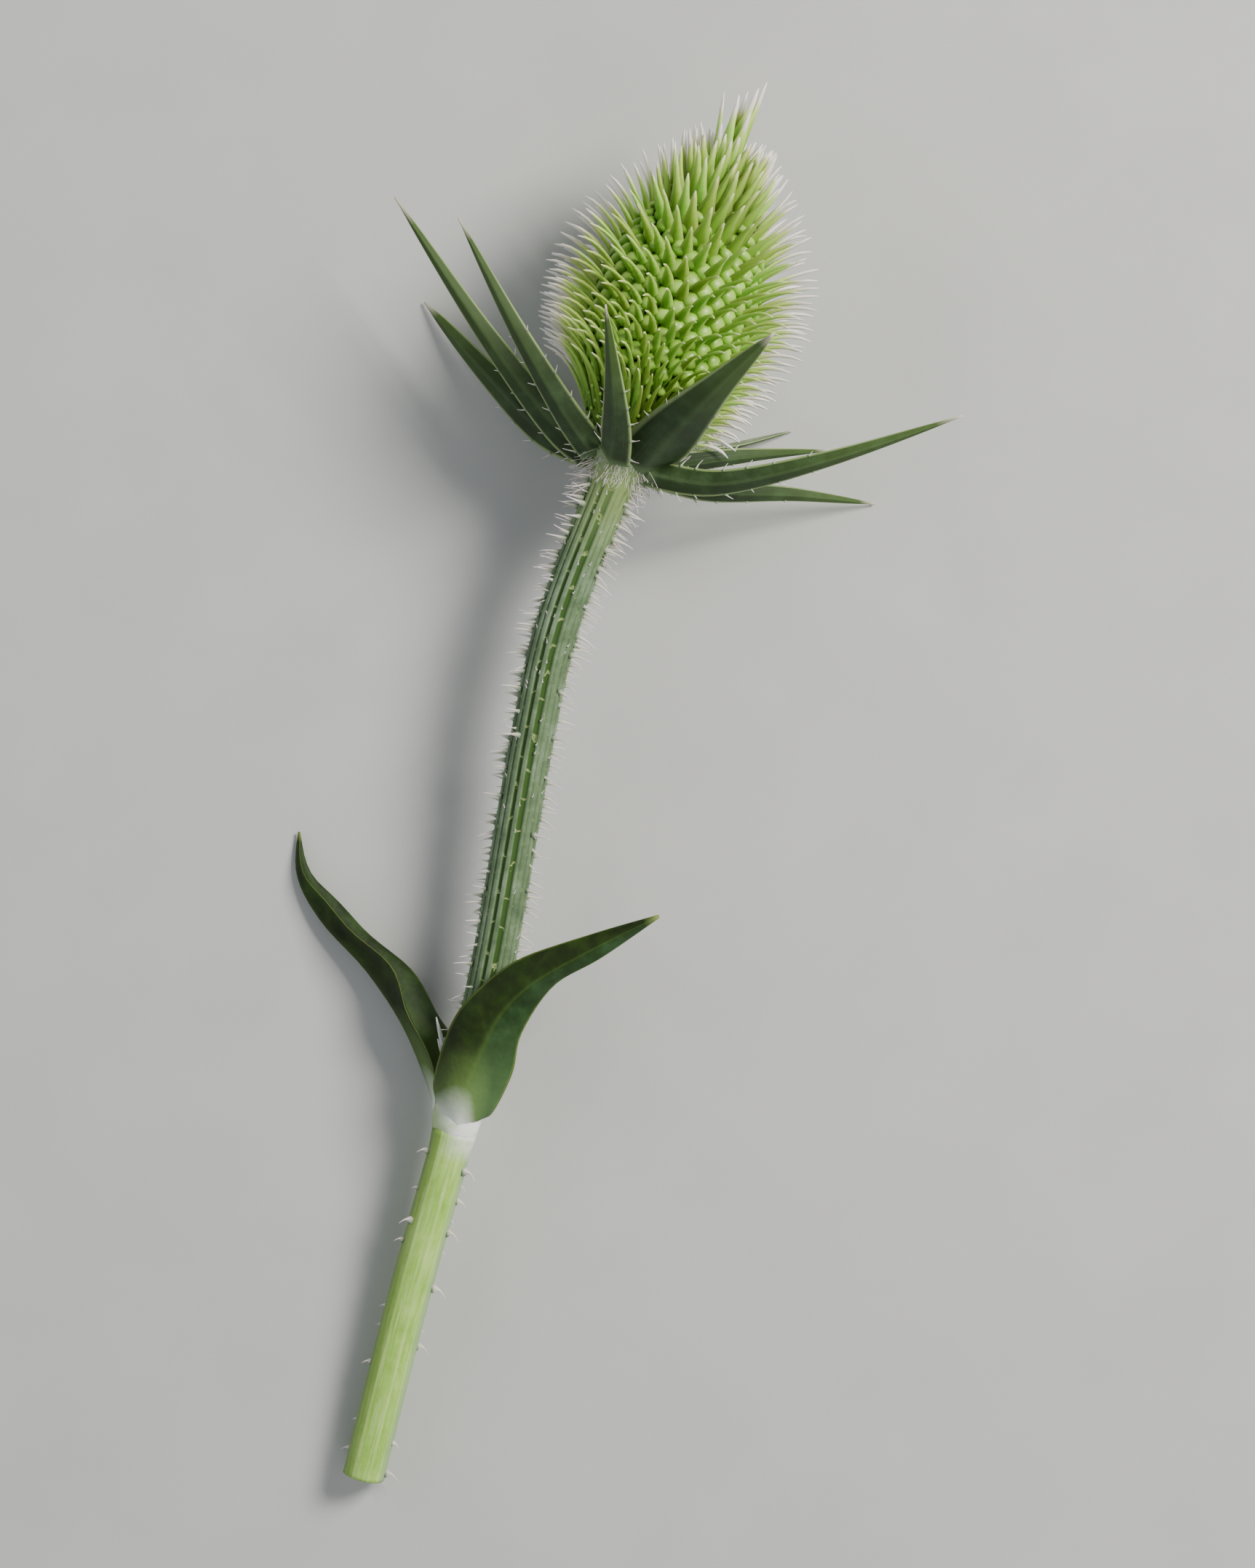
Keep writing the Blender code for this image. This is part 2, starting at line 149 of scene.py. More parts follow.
def new_piece():
    """An empty bmesh with the marks that the materials read."""
    bm = bmesh.new()
    for mark in MARKS:
        bm.verts.layers.float.new(mark)
    return bm


def grow(bm, template, place, material=0, tint=0.5, across=math.cos, ripen=1.0, ripe=1.0):
    """Adds a copy of a template tube, with each corner where place(along, turn) says.

    The marks "across" and "face" are the cosine and sine of the turn, unless across gives another
    rule. "tint" is one number or a rule of along and turn. A ripen above 1 puts off the tip colour,
    and a ripe below 1 stops short of it.
    """
    first_vert, first_face = len(bm.verts), len(bm.faces)
    bm.from_mesh(template)
    bm.verts.ensure_lookup_table()
    bm.faces.ensure_lookup_table()
    marks = {mark: bm.verts.layers.float[mark] for mark in MARKS}
    for vert in bm.verts[first_vert:]:
        along, turn = vert.co.z, math.atan2(vert.co.y, vert.co.x)
        vert[marks["along"]] = ripe * along**ripen
        vert[marks["across"]] = across(turn)
        vert[marks["face"]] = math.sin(turn)
        vert[marks["tint"]] = tint(along, turn) if callable(tint) else tint
        vert.co = place(along, turn)
    for face in bm.faces[first_face:]:
        face.material_index = material


def finish_piece(bm, name, materials, nodes=()):
    """Turns a bmesh into a piece that stands for CAD nodes and rides on the one body."""
    bmesh.ops.recalc_face_normals(bm, faces=bm.faces)
    for face in bm.faces:
        face.smooth = True
    mesh = bpy.data.meshes.new(name)
    bm.to_mesh(mesh)
    bm.free()
    for material in materials:
        mesh.materials.append(material)
    piece = bpy.data.objects.new(name, mesh)
    bpy.context.scene.collection.objects.link(piece)
    if nodes:
        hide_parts(*nodes)
    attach(piece, "root")
    print(f"{name}: {len(mesh.polygons)} faces")
    return piece


# %% [markdown]
# ## Colour and node helpers
#
# Colours are written as sRGB hex values, the way a colour picker shows them, and one function turns
# them to the linear numbers that Blender works in. One more small function adds a node with its
# settings and links and hands back the output that is wanted, so a material reads as a list of what
# feeds what.

# %% Helpers for materials
COLOURS = {"out": 2, "data_type": "RGBA"}  # makes a Mix node one of colours, and takes its colour output
SIZE_1_MM = 1 / MM  # the scale at which one unit of a texture is one millimetre


def colour(code):
    """Linear RGBA of an sRGB hex code such as 8FBF4F."""
    parts = [int(code[i : i + 2], 16) / 255 for i in (0, 2, 4)]
    linear = [p / 12.92 if p <= 0.04045 else ((p + 0.055) / 1.055) ** 2.4 for p in parts]
    return (*linear, 1.0)


def add_node(tree, kind, inputs=(), out=0, stops=(), **settings):
    """Adds a node and hands back its output.

    Inputs are values, hex codes or the outputs that feed them, by the name or number of the socket, or
    simply in the sockets' order. For a MapRange that is the value, from, to, new from and new to.
    Stops are the places and colours of a ramp.
    """
    node = tree.nodes.new("ShaderNode" + kind)
    for name, value in settings.items():
        setattr(node, name, value)
    for socket, value in inputs.items() if isinstance(inputs, dict) else enumerate(inputs):
        if isinstance(value, bpy.types.NodeSocket):
            tree.links.new(value, node.inputs[socket])
        else:
            node.inputs[socket].default_value = colour(value) if isinstance(value, str) else value
    for i, (place, code) in enumerate(stops):
        ramp = node.color_ramp.elements
        stop = ramp[i] if i < 2 else ramp.new(place)
        stop.position, stop.color = place, colour(code)
    return node.outputs[out]


def start_material(name, subsurface=0.0, specular=0.5):
    """A material of living tissue: (material, its adder of nodes, its shader's inputs)."""
    material = bpy.data.materials.new(name)
    material.use_nodes = True
    tree = material.node_tree
    shader = tree.nodes["Principled BSDF"].inputs
    shader["IOR"].default_value = 1.42
    shader["Specular IOR Level"].default_value = specular
    shader["Subsurface Weight"].default_value = subsurface
    shader["Subsurface Radius"].default_value = (0.5, 1.0, 0.3)
    shader["Subsurface Scale"].default_value = 0.8 * MM

    def add(kind, inputs=(), **settings):
        return add_node(tree, kind, inputs, **settings)

    def feed(socket, value):
        tree.links.new(value, shader[socket])

    return material, add, feed


# %% [markdown]
# ## Floral bract: green strap, dry white awn
#
# Each floral bract is fresh waxy leaf tissue at its foot and bleaches to a dry, translucent,
# pink-white awn over its outer third. The colour therefore runs along the blade, by the mark
# "along". The thin margins let light through and look yellower, the keel stays deep green, and every
# bract differs a little from the next, by the mark "tint". The surface is satin, so the roughness is
# just under a half, and fine lengthwise fibres give it a slight bump.

# %% Material of the floral bracts
floral_bract, add, feed = start_material("fresh_bract_with_dry_awn", subsurface=0.2)
along, across, tint = (
    add("Attribute", out="Fac", attribute_name=mark) for mark in ("along", "across", "tint")
)
# The darker green at the foot of each strap is painted shade, where the foot sits down among the buds.
strap = add("ValToRGB", {0: along}, stops=[
    (0.0, "5C8A20"), (0.16, "80B036"), (0.4, "A6CE58"), (0.56, "C8DE84"), (0.68, "EFE8DA"), (1.0, "FFFCFB"),
])
margin = add("Math", (across,), operation="ABSOLUTE")
margin = add("MapRange", (margin, 0.5, 1.0, 0.0, 0.7))
pale = add("Mix", {0: margin, 6: strap, 7: "CCE27C"}, **COLOURS)
awn_share = add("MapRange", (along, 0.55, 0.75))
body = add("Mix", {0: awn_share, 6: pale, 7: strap}, **COLOURS)
hue = add("MapRange", (tint, 0.0, 1.0, 0.485, 0.512))
value = add("MapRange", (tint, 0.0, 1.0, 0.86, 1.12))
feed("Base Color", add("HueSaturation", {"Hue": hue, "Value": value, "Color": body}))
place = add("CombineXYZ", {"X": across, "Y": along, "Z": tint})
fibres = add("Mapping", {"Vector": place, "Scale": (9.0, 1.5, 40.0)})
fibres = add("TexNoise", {"Vector": fibres, "Scale": 1.0, "Detail": 2.0})
feed("Normal", add("Bump", {"Height": fibres, "Strength": 0.25, "Distance": 0.06 * MM}))
feed("Roughness", add("MapRange", (along, 0.4, 1.0, 0.38, 0.62)))

# %% [markdown]
# ## Flower bud: a smooth turgid dome
#
# A closed bud is a taut, smooth skin full of sap. That gives a broad soft highlight and a little light
# shining through. Up the dome the colour runs from a deep green foot between its neighbours, which is
# painted shade, to a paler, yellower crown that is partly its own colour and partly a painted
# highlight.

# %% Material of the flower buds
flower_bud, add, feed = start_material("turgid_green_bud", subsurface=0.3)
along, tint = (add("Attribute", out="Fac", attribute_name=mark) for mark in ("along", "tint"))
# Painted shade at the dark foot, and a partly painted highlight at the pale crown
skin = add("ValToRGB", {0: along}, stops=[
    (0.0, "22380A"), (0.5, "426C18"), (0.75, "6EA02A"), (0.92, "90BE44"), (1.0, "AAD062"),
])
here = add("TexCoord", out="Object")
mottle = add("TexNoise", {"Vector": here, "Scale": SIZE_1_MM * 0.8, "Detail": 2.0})
value = add("MapRange", (tint, 0.0, 1.0, 0.86, 1.12))
hue = add("MapRange", (mottle, 0.0, 1.0, 0.488, 0.512))
feed("Base Color", add("HueSaturation", {"Hue": hue, "Value": value, "Color": skin}))
feed("Roughness", add("MapRange", (mottle, 0.0, 1.0, 0.24, 0.42)))
grain = add("TexNoise", {"Vector": here, "Scale": SIZE_1_MM * 4, "Detail": 2.0})
feed("Normal", add("Bump", {"Height": grain, "Strength": 0.15, "Distance": 0.04 * MM}))

# %% [markdown]
# ## Involucral bract: leathery, grey-green, waxy
#
# The long bracts under the head are tough leaf tissue with a grey bloom of wax. The outer face is
# dark grey-green with fine parallel veins, the inner face is silvery, the margin is a thin
# yellow-green rim of stiff cells, and the point dries to straw. The marks "across" and "face" tell
# the rim and the two faces apart. The bloom breaks up the shine, so the roughness is above a half.

# %% Material of the involucral bracts
involucral_bract, add, feed = start_material("leathery_bract_with_wax_bloom", specular=0.4)
along, across, side = (
    add("Attribute", out="Fac", attribute_name=mark) for mark in ("along", "across", "face")
)
here = add("TexCoord", out="Object")
bloom = add("TexNoise", {"Vector": here, "Scale": SIZE_1_MM / 3.0, "Detail": 4.0, "Roughness": 0.6})
outer = add("ValToRGB", {0: bloom}, stops=[(0.3, "223414"), (0.5, "2A3F1E"), (0.72, "3A5230")])
inner = add("ValToRGB", {0: bloom}, stops=[(0.3, "5C6A50"), (0.7, "98A390")])
which = add("MapRange", (side, -0.3, 0.1))
blade_colour = add("Mix", {0: which, 6: inner, 7: outer}, **COLOURS)
from_keel = add("Math", (across,), operation="ABSOLUTE")
# Layers over the blade: what each goes by, from where to where, how much it covers there, its colour
for mark, start, end, first, last, code in (
    (along, 0.45, 0.95, 0.0, 0.4, "5E7C34"),  # younger tissue towards the tip
    (from_keel, 0.0, 0.22, 0.2, 0.0, "6C8758"),  # keel
    (from_keel, 0.82, 0.98, 0.0, 0.85, "A6BE7E"),  # rim
    (along, 0.0, 0.09, 0.85, 0.0, "6F8A5C"),  # foot
    (along, 0.91, 1.0, 0.0, 0.9, "E4DAC6"),  # dry point
):
    cover = add("MapRange", (mark, start, end, first, last))
    blade_colour = add("Mix", {0: cover, 6: blade_colour, 7: code}, **COLOURS)
feed("Base Color", blade_colour)
place = add("CombineXYZ", {"X": across, "Y": along, "Z": side})
veins = add("Mapping", {"Vector": place, "Scale": (14.0, 1.2, 1.0)})
veins = add("TexNoise", {"Vector": veins, "Scale": 1.0, "Detail": 3.0})
feed("Normal", add("Bump", {"Height": veins, "Strength": 0.5, "Distance": 0.15 * MM}))
feed("Roughness", add("MapRange", (bloom, 0.0, 1.0, 0.42, 0.7)))

# %% [markdown]
# ## Ribbed stem under the head
#
# The peduncle is grooved: broad ribs under a blue-grey bloom of wax, with the green of the stem
# showing in the grooves, where the wax wears off last. Light gets in least there, so their dark green
# is partly painted shade, which fades near the head, where the grooves grow shallower. The mark
# "across" holds the depth in the groove here, so colour and shape agree. Close under the head the stem
# is younger and yellower.

# %% Material of the peduncle
BRIDGES = 20  # along the peduncle
peduncle_skin, add, feed = start_material("ribbed_stem_with_wax_bloom", subsurface=0.1)
along, groove, groove_number = (
    add("Attribute", out="Fac", attribute_name=mark) for mark in ("along", "across", "tint")
)
here = add("TexCoord", out="Object")
bloom = add("TexNoise", {"Vector": here, "Scale": SIZE_1_MM / 4.0, "Detail": 5.0, "Roughness": 0.65})
rib = add("ValToRGB", {0: bloom}, stops=[(0.28, "4A5F44"), (0.5, "637B58"), (0.7, "82977A")])
young = add("MapRange", (along, 0.84, 1.0, 0.0, 0.7))
rib = add("Mix", {0: young, 6: rib, 7: "92A860"}, **COLOURS)
# Pale bridges cross each groove every few millimetres, in each at other places
uneven = add("Math", (bloom, 1.4), operation="MULTIPLY")
place = add("Math", (along, BRIDGES, uneven), operation="MULTIPLY_ADD")
place = add("Math", (groove_number, 37.3, place), operation="MULTIPLY_ADD")
place = add("Math", (place,), operation="FRACT")
open_groove = add("MapRange", (place, 0.03, 0.09, 0.15))
# The dark green of the groove floors is partly the stem's own green and partly painted shade; it fades near
# the head, where the grooves grow shallower.
depth = add("MapRange", (groove, 0.15, 0.8))
shallower_groove_fade = add("MapRange", (along, 0.86, 0.98, 1.0, 0.5))
depth = add("Math", (depth, shallower_groove_fade), operation="MULTIPLY")
closed = add("Math", (1.0, open_groove), operation="SUBTRACT")
closed = add("Math", (closed, depth), operation="MULTIPLY")
depth = add("Math", (depth, open_groove), operation="MULTIPLY")
ground = add("Mix", {0: depth, 6: rib, 7: "345518"}, **COLOURS)
feed("Base Color", add("Mix", {0: closed, 6: ground, 7: "A2B46C"}, **COLOURS))
feed("Roughness", add("MapRange", (bloom, 0.0, 1.0, 0.38, 0.66)))
fibres = add("Mapping", {"Vector": here, "Scale": (3000.0, 500.0, 3000.0)})
fibres = add("TexNoise", {"Vector": fibres, "Scale": 1.0, "Detail": 2.0})
feed("Normal", add("Bump", {"Height": fibres, "Strength": 0.3, "Distance": 0.06 * MM}))

# %% [markdown]
# ## Prickles and hairs
#
# A prickle starts as a green cone of stem tissue and hardens to a glassy, pink-white needle. A
# little subsurface scattering stands for that glassy body, which would cost far more as real glass.

# %% Material of the prickles
prickle, add, feed = start_material("hardened_glassy_prickle", subsurface=0.35)
along, tint = (add("Attribute", out="Fac", attribute_name=mark) for mark in ("along", "tint"))
needle = add("ValToRGB", {0: along}, stops=[
    (0.0, "7E9478"), (0.25, "9DAA92"), (0.5, "CFC9BC"), (1.0, "F6EEEA"),
])
value = add("MapRange", (tint, 0.0, 1.0, 0.85, 1.1))
feed("Base Color", add("HueSaturation", {"Value": value, "Color": needle}))
here = add("TexCoord", out="Object")
grain = add("TexNoise", {"Vector": here, "Scale": SIZE_1_MM * 3, "Detail": 2.0})
feed("Roughness", add("MapRange", (grain, 0.0, 1.0, 0.22, 0.45)))

# %% [markdown]
# ## Lower stem, node and cut face
#
# Below the leaves the stem is smooth and yellow-green, with fine pale ribs and almost no bloom. The
# node is a band of thick white tissue with a breath of lilac. The cut face shows a pale, spongy pith
# inside a narrow green rind.

# %% Materials of the lower stem, the node and the pith
stem_skin, add, feed = start_material("smooth_green_stem_rind", subsurface=0.1)
along, fine_rib, side = (
    add("Attribute", out="Fac", attribute_name=mark) for mark in ("along", "across", "tint")
)
here = add("TexCoord", out="Object")
streaks = add("CombineXYZ", {"X": side, "Y": along})
streaks = add("Mapping", {"Vector": streaks, "Scale": (22.0, 7.0, 1.0)})
streaks = add("TexNoise", {"Vector": streaks, "Scale": 1.0, "Detail": 4.0, "Roughness": 0.7})
clouds = add("TexNoise", {"Vector": here, "Scale": SIZE_1_MM / 5.0, "Detail": 4.0, "Roughness": 0.7})
rind = add("ValToRGB", {0: clouds}, stops=[(0.3, "8ABA46"), (0.5, "9FCC5A"), (0.72, "B4DA74")])
pale_rib = add("Math", (fine_rib, streaks), operation="MULTIPLY")
rind = add("Mix", {0: pale_rib, 6: rind, 7: "C6DE8C"}, **COLOURS)
for mark, start, end, first, last, code in (
    (streaks, 0.5, 0.66, 0.0, 0.5, "D2E6A2"),  # pale fibres
    (streaks, 0.32, 0.46, 0.4, 0.0, "7BAA3C"),  # furrows
    # Painted shade: the left side, away from the lamp, is darker olive.
    (side, 0.0, 0.3, 0.85, 0.0, "5F7C2C"),  # left side
    (side, 0.84, 1.0, 0.0, 0.8, "8FAE88"),  # right side
):
    cover = add("MapRange", (mark, start, end, first, last))
    rind = add("Mix", {0: cover, 6: rind, 7: code}, **COLOURS)
# The white of the node reaches further down on the side that the right leaf leaves from
toward_leaf = add("MapRange", (side, 0.25, 0.8))
near_node = add("MapRange", (along, 0.9, 1.0, 0.0, 1.1))
near_node = add("Math", (near_node, clouds), operation="MULTIPLY")
near_node = add("MapRange", (near_node, 0.1, 0.5))
near_node = add("Math", (near_node, toward_leaf), operation="MULTIPLY")
feed("Base Color", add("Mix", {0: near_node, 6: rind, 7: "E4ECDE"}, **COLOURS))
feed("Roughness", add("MapRange", (streaks, 0.0, 1.0, 0.3, 0.5)))
feed("Normal", add("Bump", {"Height": streaks, "Strength": 0.25, "Distance": 0.06 * MM}))

node_tissue, add, feed = start_material("thick_white_node_tissue", subsurface=0.25)
along, across = (add("Attribute", out="Fac", attribute_name=mark) for mark in ("along", "across"))
here = add("TexCoord", out="Object")
cloud = add("TexNoise", {"Vector": here, "Scale": SIZE_1_MM / 2.5, "Detail": 3.0})
tissue = add("ValToRGB", {0: cloud}, stops=[(0.3, "E0ECD4"), (0.5, "FAFFF8"), (0.7, "F2E8F6")])
# Towards the left the stem's green goes on through the node
still_green = add("Math", (cloud, 0.5, across), operation="MULTIPLY_ADD")
still_green = add("Math", (along, 0.7, still_green), operation="MULTIPLY_ADD")
still_green = add("MapRange", (still_green, -0.6, 0.5, 1.0, 0.0))
feed("Base Color", add("Mix", {0: still_green, 6: tissue, 7: "A4BE80"}, **COLOURS))
feed("Roughness", add("MapRange", (cloud, 0.0, 1.0, 0.35, 0.6)))
wrinkles = add("TexNoise", {"Vector": here, "Scale": SIZE_1_MM, "Detail": 3.0})
feed("Normal", add("Bump", {"Height": wrinkles, "Strength": 0.3, "Distance": 0.1 * MM}))

neck_tissue, add, feed = start_material("juicy_neck_under_the_head", subsurface=0.2)
along = add("Attribute", out="Fac", attribute_name="along")
here = add("TexCoord", out="Object")
cloud = add("TexNoise", {"Vector": here, "Scale": SIZE_1_MM / 2.0, "Detail": 3.0})
tissue = add("ValToRGB", {0: cloud}, stops=[(0.3, "72885A"), (0.5, "8CA076"), (0.7, "A8B69C")])
below = add("MapRange", (along, 0.2, 0.75, 0.85, 0.0))
feed("Base Color", add("Mix", {0: below, 6: tissue, 7: "86A058"}, **COLOURS))
feed("Roughness", add("MapRange", (cloud, 0.0, 1.0, 0.35, 0.6)))

pith, add, feed = start_material("spongy_pith_of_a_fresh_cut", subsurface=0.3)
here = add("TexCoord", out="Object")
cells = add("TexVoronoi", {"Vector": here, "Scale": SIZE_1_MM * 3})
feed("Base Color", add("ValToRGB", {0: cells}, stops=[(0.1, "C9D3A2"), (0.6, "EEF0DC")]))
feed("Normal", add("Bump", {"Height": cells, "Strength": 0.6, "Distance": 0.1 * MM}))
feed("Roughness", add("MapRange", (cells, 0.0, 1.0, 0.6, 0.9)))

# %% [markdown]
# ## Leaf
#
# The stem leaves are dark green. The half of each blade that faces the lamp is painted paler and
# bluer green, as painted light, and paler still towards its foot. They have a broad white midrib that
# runs into the node, sunken side veins and a thin yellowish margin. The side veins are drawn on the
# leaf's own marks, so that they slant from the midrib towards the point on both halves.

# %% Material of the leaves
leaf_blade, add, feed = start_material("satin_leaf_blade", subsurface=0.08, specular=0.3)
along, across, light_half = (
    add("Attribute", out="Fac", attribute_name=mark) for mark in ("along", "across", "tint")
)
here = add("TexCoord", out="Object")
mottle = add("TexNoise", {"Vector": here, "Scale": SIZE_1_MM / 2.5, "Detail": 4.0})
dark = add("ValToRGB", {0: mottle}, stops=[(0.3, "162204"), (0.5, "203008"), (0.72, "2C4210")])
# Painted light: this paler, bluer green goes on the half of the blade that faces the lamp.
light = add("ValToRGB", {0: mottle}, stops=[(0.3, "1C3312"), (0.5, "27421D"), (0.72, "365630")])
green = add("Mix", {0: light_half, 6: dark, 7: light}, **COLOURS)
from_rib = add("Math", (across,), operation="ABSOLUTE")
slant = add("Math", (along, 9.0), operation="MULTIPLY")
slant = add("Math", (slant, from_rib), operation="SUBTRACT")
wobble = add("Math", (mottle, 0.35), operation="MULTIPLY")
slant = add("Math", (slant, wobble), operation="ADD")
vein = add("Math", (slant, 1.0), operation="PINGPONG")
vein = add("MapRange", (vein, 0.0, 0.14, 1.0, 0.0))
vein_share = add("Math", (vein, 0.03), operation="MULTIPLY")
green = add("Mix", {0: vein_share, 6: green, 7: "6F8554"}, **COLOURS)
# Painted light: on the half that faces the lamp the blade is paler still towards its foot.
paler_lit_foot = add("MapRange", (along, 0.14, 0.52, 0.6, 0.0))
paler_lit_foot = add("Math", (paler_lit_foot, light_half), operation="MULTIPLY")
green = add("Mix", {0: paler_lit_foot, 6: green, 7: "5F8050"}, **COLOURS)
# The pale foot reaches further up the midrib than up the margins
reach = add("MapRange", (light_half, 0.0, 1.0, 0.16, 0.32))
reach = add("Math", (reach, from_rib), operation="MULTIPLY")
foot = add("Math", (from_rib, reach, along), operation="MULTIPLY_ADD")
for mark, start, end, first, last, code in (
    (from_rib, 0.0, 0.1, 0.25, 0.0, "5C7A2A"),  # midrib
    (foot, 0.1, 0.4, 0.75, 0.0, "7C9C54"),  # fresh green next to the node
    (foot, 0.07, 0.24, 1.0, 0.0, "E4ECE2"),  # white foot
    (along, 0.95, 1.0, 0.0, 0.7, "9AA860"),  # tip
    (from_rib, 0.93, 1.0, 0.0, 0.8, "74863A"),  # margin
):
    cover = add("MapRange", (mark, start, end, first, last))
    green = add("Mix", {0: cover, 6: green, 7: code}, **COLOURS)
feed("Base Color", green)
net = add("TexVoronoi", {"Vector": here, "Scale": SIZE_1_MM / 0.7})
height = add("Math", (vein, -0.25, net), operation="MULTIPLY_ADD")
feed("Normal", add("Bump", {"Height": height, "Strength": 0.35, "Distance": 0.1 * MM}))
feed("Roughness", add("MapRange", (mottle, 0.0, 1.0, 0.5, 0.68)))

# %% [markdown]
# ## Receptacle
#
# The egg-shaped core stays as the CAD made it, because bracts and buds hide it. It only has to be a
# plain green of soft tissue where it shows in the gaps.

# %% Material of the receptacle
core, add, feed = start_material("green_core_in_shade")
here = add("TexCoord", out="Object")
patches = add("TexNoise", {"Vector": here, "Scale": SIZE_1_MM, "Detail": 3.0})
feed("Base Color", add("ValToRGB", {0: patches}, stops=[(0.3, "4C7A1C"), (0.7, "6E9E34")]))
feed("Roughness", add("MapRange", (patches, 0.0, 1.0, 0.5, 0.7)))
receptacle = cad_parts["receptacle"]
receptacle.data.materials.clear()
receptacle.data.materials.append(core)
print("materials made:", len(bpy.data.materials))

# %% [markdown]
# ## Where the head stands
#
# The head leans away from the stem. All its pieces are placed by a height up its axis, a distance
# from the axis and a turn round it, where a turn of zero points straight up from the table. One
# function brings such a place into the frame.

# %% The head's own coordinates
NECK = Vector((-0.7, 42.8, 15.9))
HEAD_TURN = math.radians(20.0)
HEAD_RISE = math.radians(5.4)
BODY_OUTLINE = [
    (0.0, 4.6), (4.0, 7.0), (11.0, 9.8), (18.5, 10.6), (26.0, 9.7), (33.0, 7.0), (38.5, 3.2), (40.5, 0.0),
]
AWN_OUTLINE = [
    (3.0, 13.4), (6.0, 13.8), (10.0, 14.8), (14.0, 16.5), (20.5, 17.9), (26.0, 17.3), (31.0, 15.7),
    (37.0, 11.8), (45.0, 4.0), (48.0, 2.2),
]
FLOOR_CLEARANCE = 0.1 * MM  # what rests on the table stays this far above it

flat = math.cos(HEAD_RISE)
head_axis = Vector((math.sin(HEAD_TURN) * flat, math.cos(HEAD_TURN) * flat, math.sin(HEAD_RISE)))
head_right = Vector((math.cos(HEAD_TURN), -math.sin(HEAD_TURN), 0.0))
head_back = head_axis.cross(head_right)


def away_at(turn):
    """Direction straight away from the head's axis at a turn."""
    return head_right * math.sin(turn) - head_back * math.cos(turn)


def head_point(radius, turn, height, sideways=0.0):
    """Point of the frame in metres, from millimetres up and round the head."""
    round_it = head_right * math.cos(turn) + head_back * math.sin(turn)
    return (NECK + away_at(turn) * radius + round_it * sideways + head_axis * height) * MM


def rest_on_table(point):
    """The point, or the place just above the table where a springy awn comes to rest."""
    point.z = max(point.z, FLOOR_CLEARANCE)
    return point


print("top of the head's body in mm:", [round(v / MM, 1) for v in head_point(0, 0, BODY_OUTLINE[-1][0])])

# %% [markdown]
# ## Florets in golden-angle spirals
#
# On the real head every new floret turns 137.5 degrees from the one before, which packs them in
# crossing spirals. The same rule places them here: each takes an equal share of the body's surface,
# so they stay the same distance apart from the neck to the top. They are sorted into the ten rings
# of the CAD model, so that each ring can be replaced by its own florets.

# %% Places of the florets
RING_COUNT = 10
RINGS_FROM, RINGS_TO = 1.8, 37.2
# Height, and the square millimetres of each floret: crowded at the foot, over 2 mm apart above
FLORET_AREA = [(0, 2.5), (7, 2.8), (11, 4.6), (26, 4.8), (31, 4.8), (38, 5.6)]
GOLDEN_ANGLE = math.radians(137.508)
OUTLINE_STEPS = 400

heights = [RINGS_FROM + (RINGS_TO - RINGS_FROM) * i / OUTLINE_STEPS for i in range(OUTLINE_STEPS + 1)]
radii = [outline_at(BODY_OUTLINE, height) for height in heights]
run, room = [0.0], [0.0]
for i in range(OUTLINE_STEPS):
    slant = math.hypot(heights[i + 1] - heights[i], radii[i + 1] - radii[i])
    band = slant * math.pi * (radii[i] + radii[i + 1])
    run.append(run[-1] + slant)
    room.append(room[-1] + band / between(FLORET_AREA, heights[i]))
florets = [[] for ring in range(RING_COUNT)]
step = 0
for number in range(int(room[-1])):
    while room[step] < number + 0.5:
        step += 1
    ring = min(int(run[step] / run[-1] * RING_COUNT), RING_COUNT - 1)
    florets[ring].append((heights[step], number * GOLDEN_ANGLE))
print("florets in each ring, from the neck up:", [len(ring) for ring in florets])

# %% [markdown]
# ## Shape of one floral bract
#
# A floral bract is a keeled strap that narrows to a needle. It leaves the body at a slant, clears
# the bud in front of it and bends outward, so that the awns low on the head droop and those near the
# top stand up. A cubic curve does this: the two end directions depend on the height of the floret.
# The section has only four corners, two margins, a keel and a hollow, because there are hundreds.

# %% How a floral bract grows
STRAP = tube_template("strap_of_four_sides", 9, 4)
STRAP_WIDTH = [
    (0, 2.0), (0.12, 2.1), (0.35, 1.85), (0.5, 1.35), (0.64, 0.85), (0.78, 0.62), (0.9, 0.5), (1, 0.14),
]
STRAP_THICKNESS = [(0, 0.5), (0.3, 0.5), (0.6, 0.52), (0.85, 0.5), (1, 0.12)]
STRAP_HOLLOW = 0.28  # how far the margins fold in, as a share of the half width
STRAP_REACH = 0.36  # how far each end direction carries, as a share of the length
FOOT_DEPTH = 1.9  # below the body's surface, on the receptacle
FOOT_STEP = 0.8  # down from the floret's place
FACING = 1.6  # how soon a bract counts as one that faces up: 1 only on top, more also beside it
# Height of the foot, how much higher the tip is, how much less so on the side that faces up (below 0:
# more so), and how much more so on the right, because the head isn't quite even
AWN_LIFT = [
    (0, 5.4, -2.8, -3.4), (5, 5.4, -2.2, -2.2), (10, 5.4, -0.6, -0.2), (14, 5.4, 0.6, 0.8),
    (18, 5.3, 1.1, 1.0), (22, 5.9, 0.9, 0.8), (26, 7.8, 0.2, 0.8), (30, 9.8, -0.2, 0.6),
    (34, 9.0, 0.0, 0.4), (38, 6.2, 0.0, 0.2),
]
# Height of the foot, and how far the foot and the end turn away from the straight line, in degrees
AWN_BEND = [
    (0, 30, -46), (8, 32, -46), (14, 32, -42), (20, 30, -36), (27, 24, -26), (33, 14, -16), (40, 6, -4),
]
